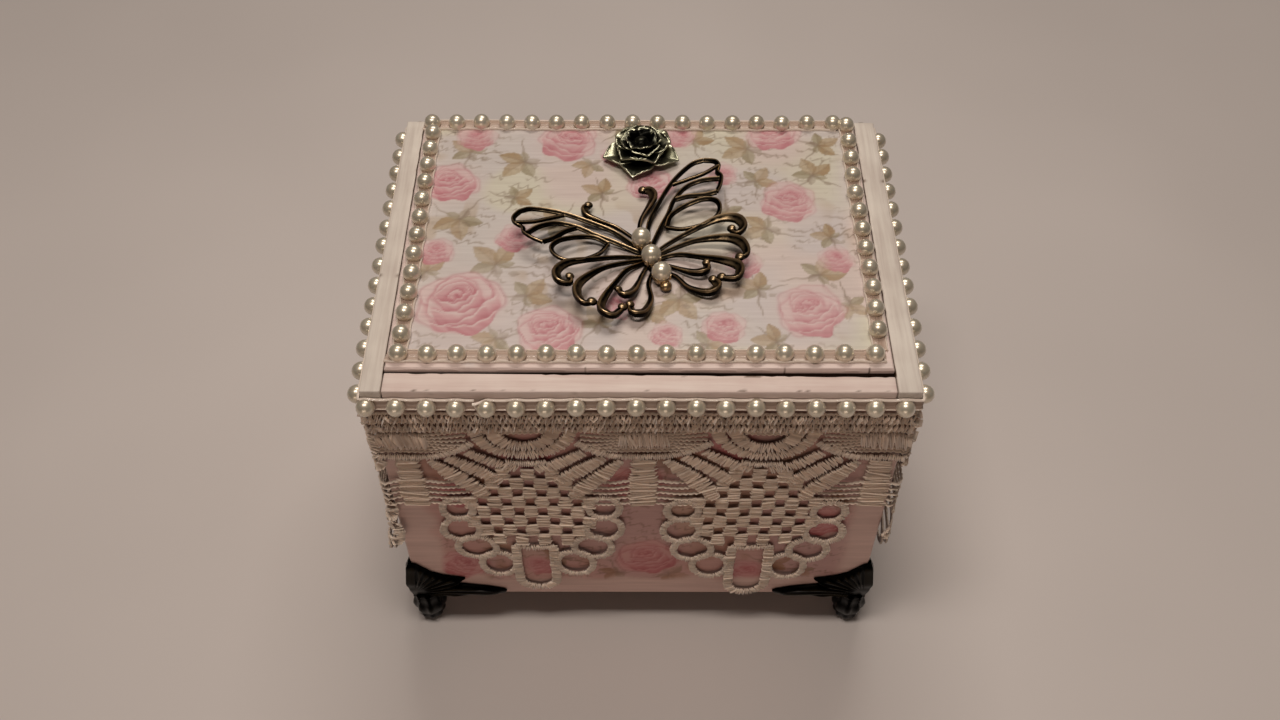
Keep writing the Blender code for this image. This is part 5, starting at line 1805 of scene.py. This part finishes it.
def petal_grid(reach, half_width, root, middle, tip, rise, rub, turn):
    """One petal's points from its root outwards, and how brightly each is rubbed."""
    s = np.linspace(-1, 1, PETAL_STEPS)[None, :]
    t = np.linspace(0, 1, PETAL_STEPS)[:, None]
    swell = 0.40 + 0.60 * np.sin(np.pi / 2 * np.clip(t / BROADEST, 0, 1))
    close = np.sqrt(1 - (np.clip(t - BROADEST, 0, 1) / (1.04 - BROADEST)) ** 2)
    y = s * half_width * swell * close
    x = 0.6 + (reach - 0.6) * t * (1 + 0.12 * (1 - np.abs(s)) * t**4 - 0.12 * s**2 * t)
    z = root * (1 - t) ** 2 + 2 * middle * t * (1 - t) + tip * t**2
    z = z + rise * s**2 * np.sin(np.pi * np.clip(t, 0.05, 0.8)) - 0.35 * bell(s, 0.20) * ease(0.2, 0.6, t)
    rim = np.maximum(np.abs(s) ** 9 * ease(0.2, 0.5, t), t**14)
    crest = rub * (0.05 + 0.75 * ease(0.35, 0.9, t)) + 0.75 * rim
    x, y = turned(x, y, -math.radians(turn))
    return np.column_stack([x.ravel(), y.ravel(), z.ravel()]), crest.ravel()


def petal_faces():
    n = PETAL_STEPS
    corners = [i * n + j for i in range(n - 1) for j in range(n - 1)]
    return [[a, a + n, a + n + 1, a + 1] for a in corners]


rose_parts, rose_crests = [], []
for *form, first_angle, count in PETAL_RINGS:
    for k in range(count):
        wobble = 5 * math.sin(3.1 * k + first_angle)
        points, crest = petal_grid(*form, first_angle + k * 360 / count + wobble)
        rose_parts.append((points, petal_faces()))
        rose_crests.append(crest)
print("the rose has", len(rose_parts), "petals")

# %% Cast the rose
BUD_RADIUS, BUD_HEIGHT, BUD_RUB = 3.1, 4.0, 0.25
PETAL_METAL = 0.55
rose_parts.append((BALL_POINTS * BUD_RADIUS + [0, 0, BUD_HEIGHT], BALL_FACES))
rose_crests.append(np.full(len(BALL_POINTS), BUD_RUB))
rose_points, rose_faces = joined(rose_parts)
rose = piece_from("cast_rose", rose_points + [*middle_of("metal_rose")[:2], CHARM_BED], rose_faces)
give_number(rose, "crest", np.concatenate(rose_crests))
take(rose)
shell = rose.modifiers.new("metal", "SOLIDIFY")
shell.thickness = PETAL_METAL * MM
shell.offset = 0
bpy.ops.object.modifier_apply(modifier="metal")
smoother = rose.modifiers.new("cast", "SUBSURF")
smoother.levels = smoother.render_levels = 1
bpy.ops.object.modifier_apply(modifier="cast")
dress(rose, antique_pewter, "antique_pewter", "metal_rose", smooth_deg=60)

# %% [markdown]
# ## The feet
#
# A foot wraps a lower corner of the box. On each face it spreads a leaf whose ribs fan out from the
# corner, so the leaf is drawn in rays: each ray runs from the corner to the leaf's outline, and ribs
# rise and fall from ray to ray. A turned and fluted leg stands under the corner.

# %% Leaf
LEAF_CENTRE = 3.5
# Distance from the box's corner and height above the wall's lower edge
LEAF_OUTLINE = (
    (0.0, 21.2), (1.8, 20.6), (3.8, 18.4), (6.6, 15.3), (10.5, 13.2), (14.5, 12.1), (18.0, 11.3),
    (17.6, 10.4), (14.0, 9.4), (12.0, 8.3), (14.5, 7.5), (18.6, 6.9), (25.6, 5.5), (30.6, 3.8),
    (32.0, 2.8), (31.0, 1.4), (26.0, 0.5), (21.0, 0.0), (15.0, -0.4), (10.9, -0.7), (5.0, -1.0),
    (0.0, -1.2),
)
LEAF_RAY_GAP, LEAF_STEPS, LEAF_RIBS = 0.56, 20, 32


def leaf_surface():
    """Half a foot's leaf: place on the wall, thickness and crest, on a grid of rays."""
    rim = evenly(np.array(LEAF_OUTLINE), LEAF_RAY_GAP)
    root = np.array([0.0, LEAF_CENTRE])
    share = np.linspace(0, 1, LEAF_STEPS)[None, :, None]
    flat = root + (rim[:, None] - root) * share
    angle = np.unwrap(np.arctan2(rim[:, 1] - LEAF_CENTRE, rim[:, 0] + 1e-6))[:, None]
    t = share[:, :, 0]
    away = np.hypot(flat[..., 0], flat[..., 1] - LEAF_CENTRE)
    ribs = (0.5 + 0.5 * np.cos(angle * LEAF_RIBS + 0.10 * away)) * ease(2.0, 7.0, away)
    body = 1.0 + 0.8 * ease(20, 8, flat[..., 1]) - 1.0 * ease(6, -1, flat[..., 1])
    edge = ease(1.0, 0.86, t)
    thick = 0.55 + (body - 0.55 + 0.65 * ribs * ease(0.0, 0.35, t)) * edge
    return flat, thick, ribs * edge * ease(0.05, 0.4, t)


print("a leaf has", len(leaf_surface()[0]), "rays")


# %% A leaf as a shell
FOOT_GAP = 0.3


def foot_parts(side):
    """One leaf of a foot as a closed shell: side 0 lies on the X face, side 1 on the Y face."""
    flat, thick, crest = leaf_surface()
    n, m = thick.shape
    s, h = flat[..., 0], flat[..., 1]
    out_front, out_back = FOOT_GAP + thick, np.full_like(thick, FOOT_GAP)
    points = []
    for out in (out_front, out_back):
        inner = np.where(s < 1e-6, -out, s)
        a, b = (inner, -out) if side == 0 else (-out, inner)
        points.append(np.column_stack([a.ravel(), b.ravel(), h.ravel()]))
    faces = []
    layer = n * m
    for i in range(n - 1):
        for j in range(1, m):
            a, b, c, d = i * m + j - 1, i * m + j, (i + 1) * m + j, (i + 1) * m + j - 1
            if j == 1:
                faces += [[a, b, c], [layer + a, layer + c, layer + b]]
            else:
                faces += [[a, b, c, d], [layer + a, layer + d, layer + c, layer + b]]
        faces.append([i * m + m - 1, layer + i * m + m - 1, layer + (i + 1) * m + m - 1, (i + 1) * m + m - 1])
    return (np.vstack(points), faces), np.concatenate([crest.ravel(), np.zeros(crest.size)])


# %% Leg
# Height, radius and how deeply it is fluted there, from the box down
LEG_RINGS = (
    (0.8, 4.6, 0.1), (-0.2, 5.3, 0.5), (-1.2, 4.9, 0.1), (-2.0, 5.3, 0.5), (-3.0, 4.9, 0.1),
    (-4.0, 5.2, 0.5), (-5.0, 4.8, 0.1), (-6.6, 5.4, 0.6), (-8.6, 5.7, 0.8), (-10.6, 5.5, 0.7),
    (-12.2, 5.0, 0.4), (-13.2, 4.6, 0.1), (-14.2, 4.8, 0.5), (-15.6, 4.6, 0.5), (-17.0, 4.0, 0.3),
    (-18.0, 3.2, 0.1),
)
LEG_INSET, LEG_SIDES, LEG_FLUTES = 2.8, 54, 9


def leg_parts():
    """The turned leg, fluted where it swells."""
    angle = np.arange(LEG_SIDES) * math.tau / LEG_SIDES
    points, crest = [], []
    for height, radius, swell in LEG_RINGS:
        reach = radius * (1 + 0.11 * swell * np.cos(LEG_FLUTES * angle))
        x, y = LEG_INSET + reach * np.cos(angle), LEG_INSET + reach * np.sin(angle)
        points.append(np.column_stack([x, y, np.full(LEG_SIDES, height)]))
        crest.append(0.8 * swell * (0.5 + 0.5 * np.cos(LEG_FLUTES * angle)))
    faces = skin_faces(len(LEG_RINGS), LEG_SIDES)
    return (np.vstack(points), faces), np.concatenate(crest)


print("a leg has", len(LEG_RINGS), "rings and", LEG_FLUTES, "flutes")

# %% [markdown]
# One foot is drawn for a corner at the origin. Turned in sign along X and Y it fits all four corners.


# %% Set a foot under each corner
def set_foot(corner, side_x, side_y):
    """Two leaves and a leg as one casting, where side_x and side_y say which corner."""
    parts, crests = zip(foot_parts(0), foot_parts(1), leg_parts())
    points, faces = joined(parts)
    corner_x = wall_high[0] if side_x > 0 else wall_low[0]
    corner_y = wall_high[1] if side_y > 0 else wall_low[1]
    x, y = corner_x - side_x * points[:, 0], corner_y - side_y * points[:, 1]
    foot = piece_from("cast_" + corner, np.column_stack([x, y, wall_low[2] + points[:, 2]]), faces)
    give_number(foot, "crest", np.concatenate(crests))
    take(foot)
    bpy.ops.object.mode_set(mode="EDIT")
    bpy.ops.mesh.select_all(action="SELECT")
    bpy.ops.mesh.remove_doubles(threshold=0.01 * MM)
    bpy.ops.mesh.normals_make_consistent(inside=False)
    bpy.ops.object.mode_set(mode="OBJECT")
    dress(foot, dark_bronze, "dark_bronze", corner, smooth_deg=50)


set_foot("foot_front_left", -1, -1)
set_foot("foot_front_right", 1, -1)
set_foot("foot_back_left", -1, 1)
set_foot("foot_back_right", 1, 1)
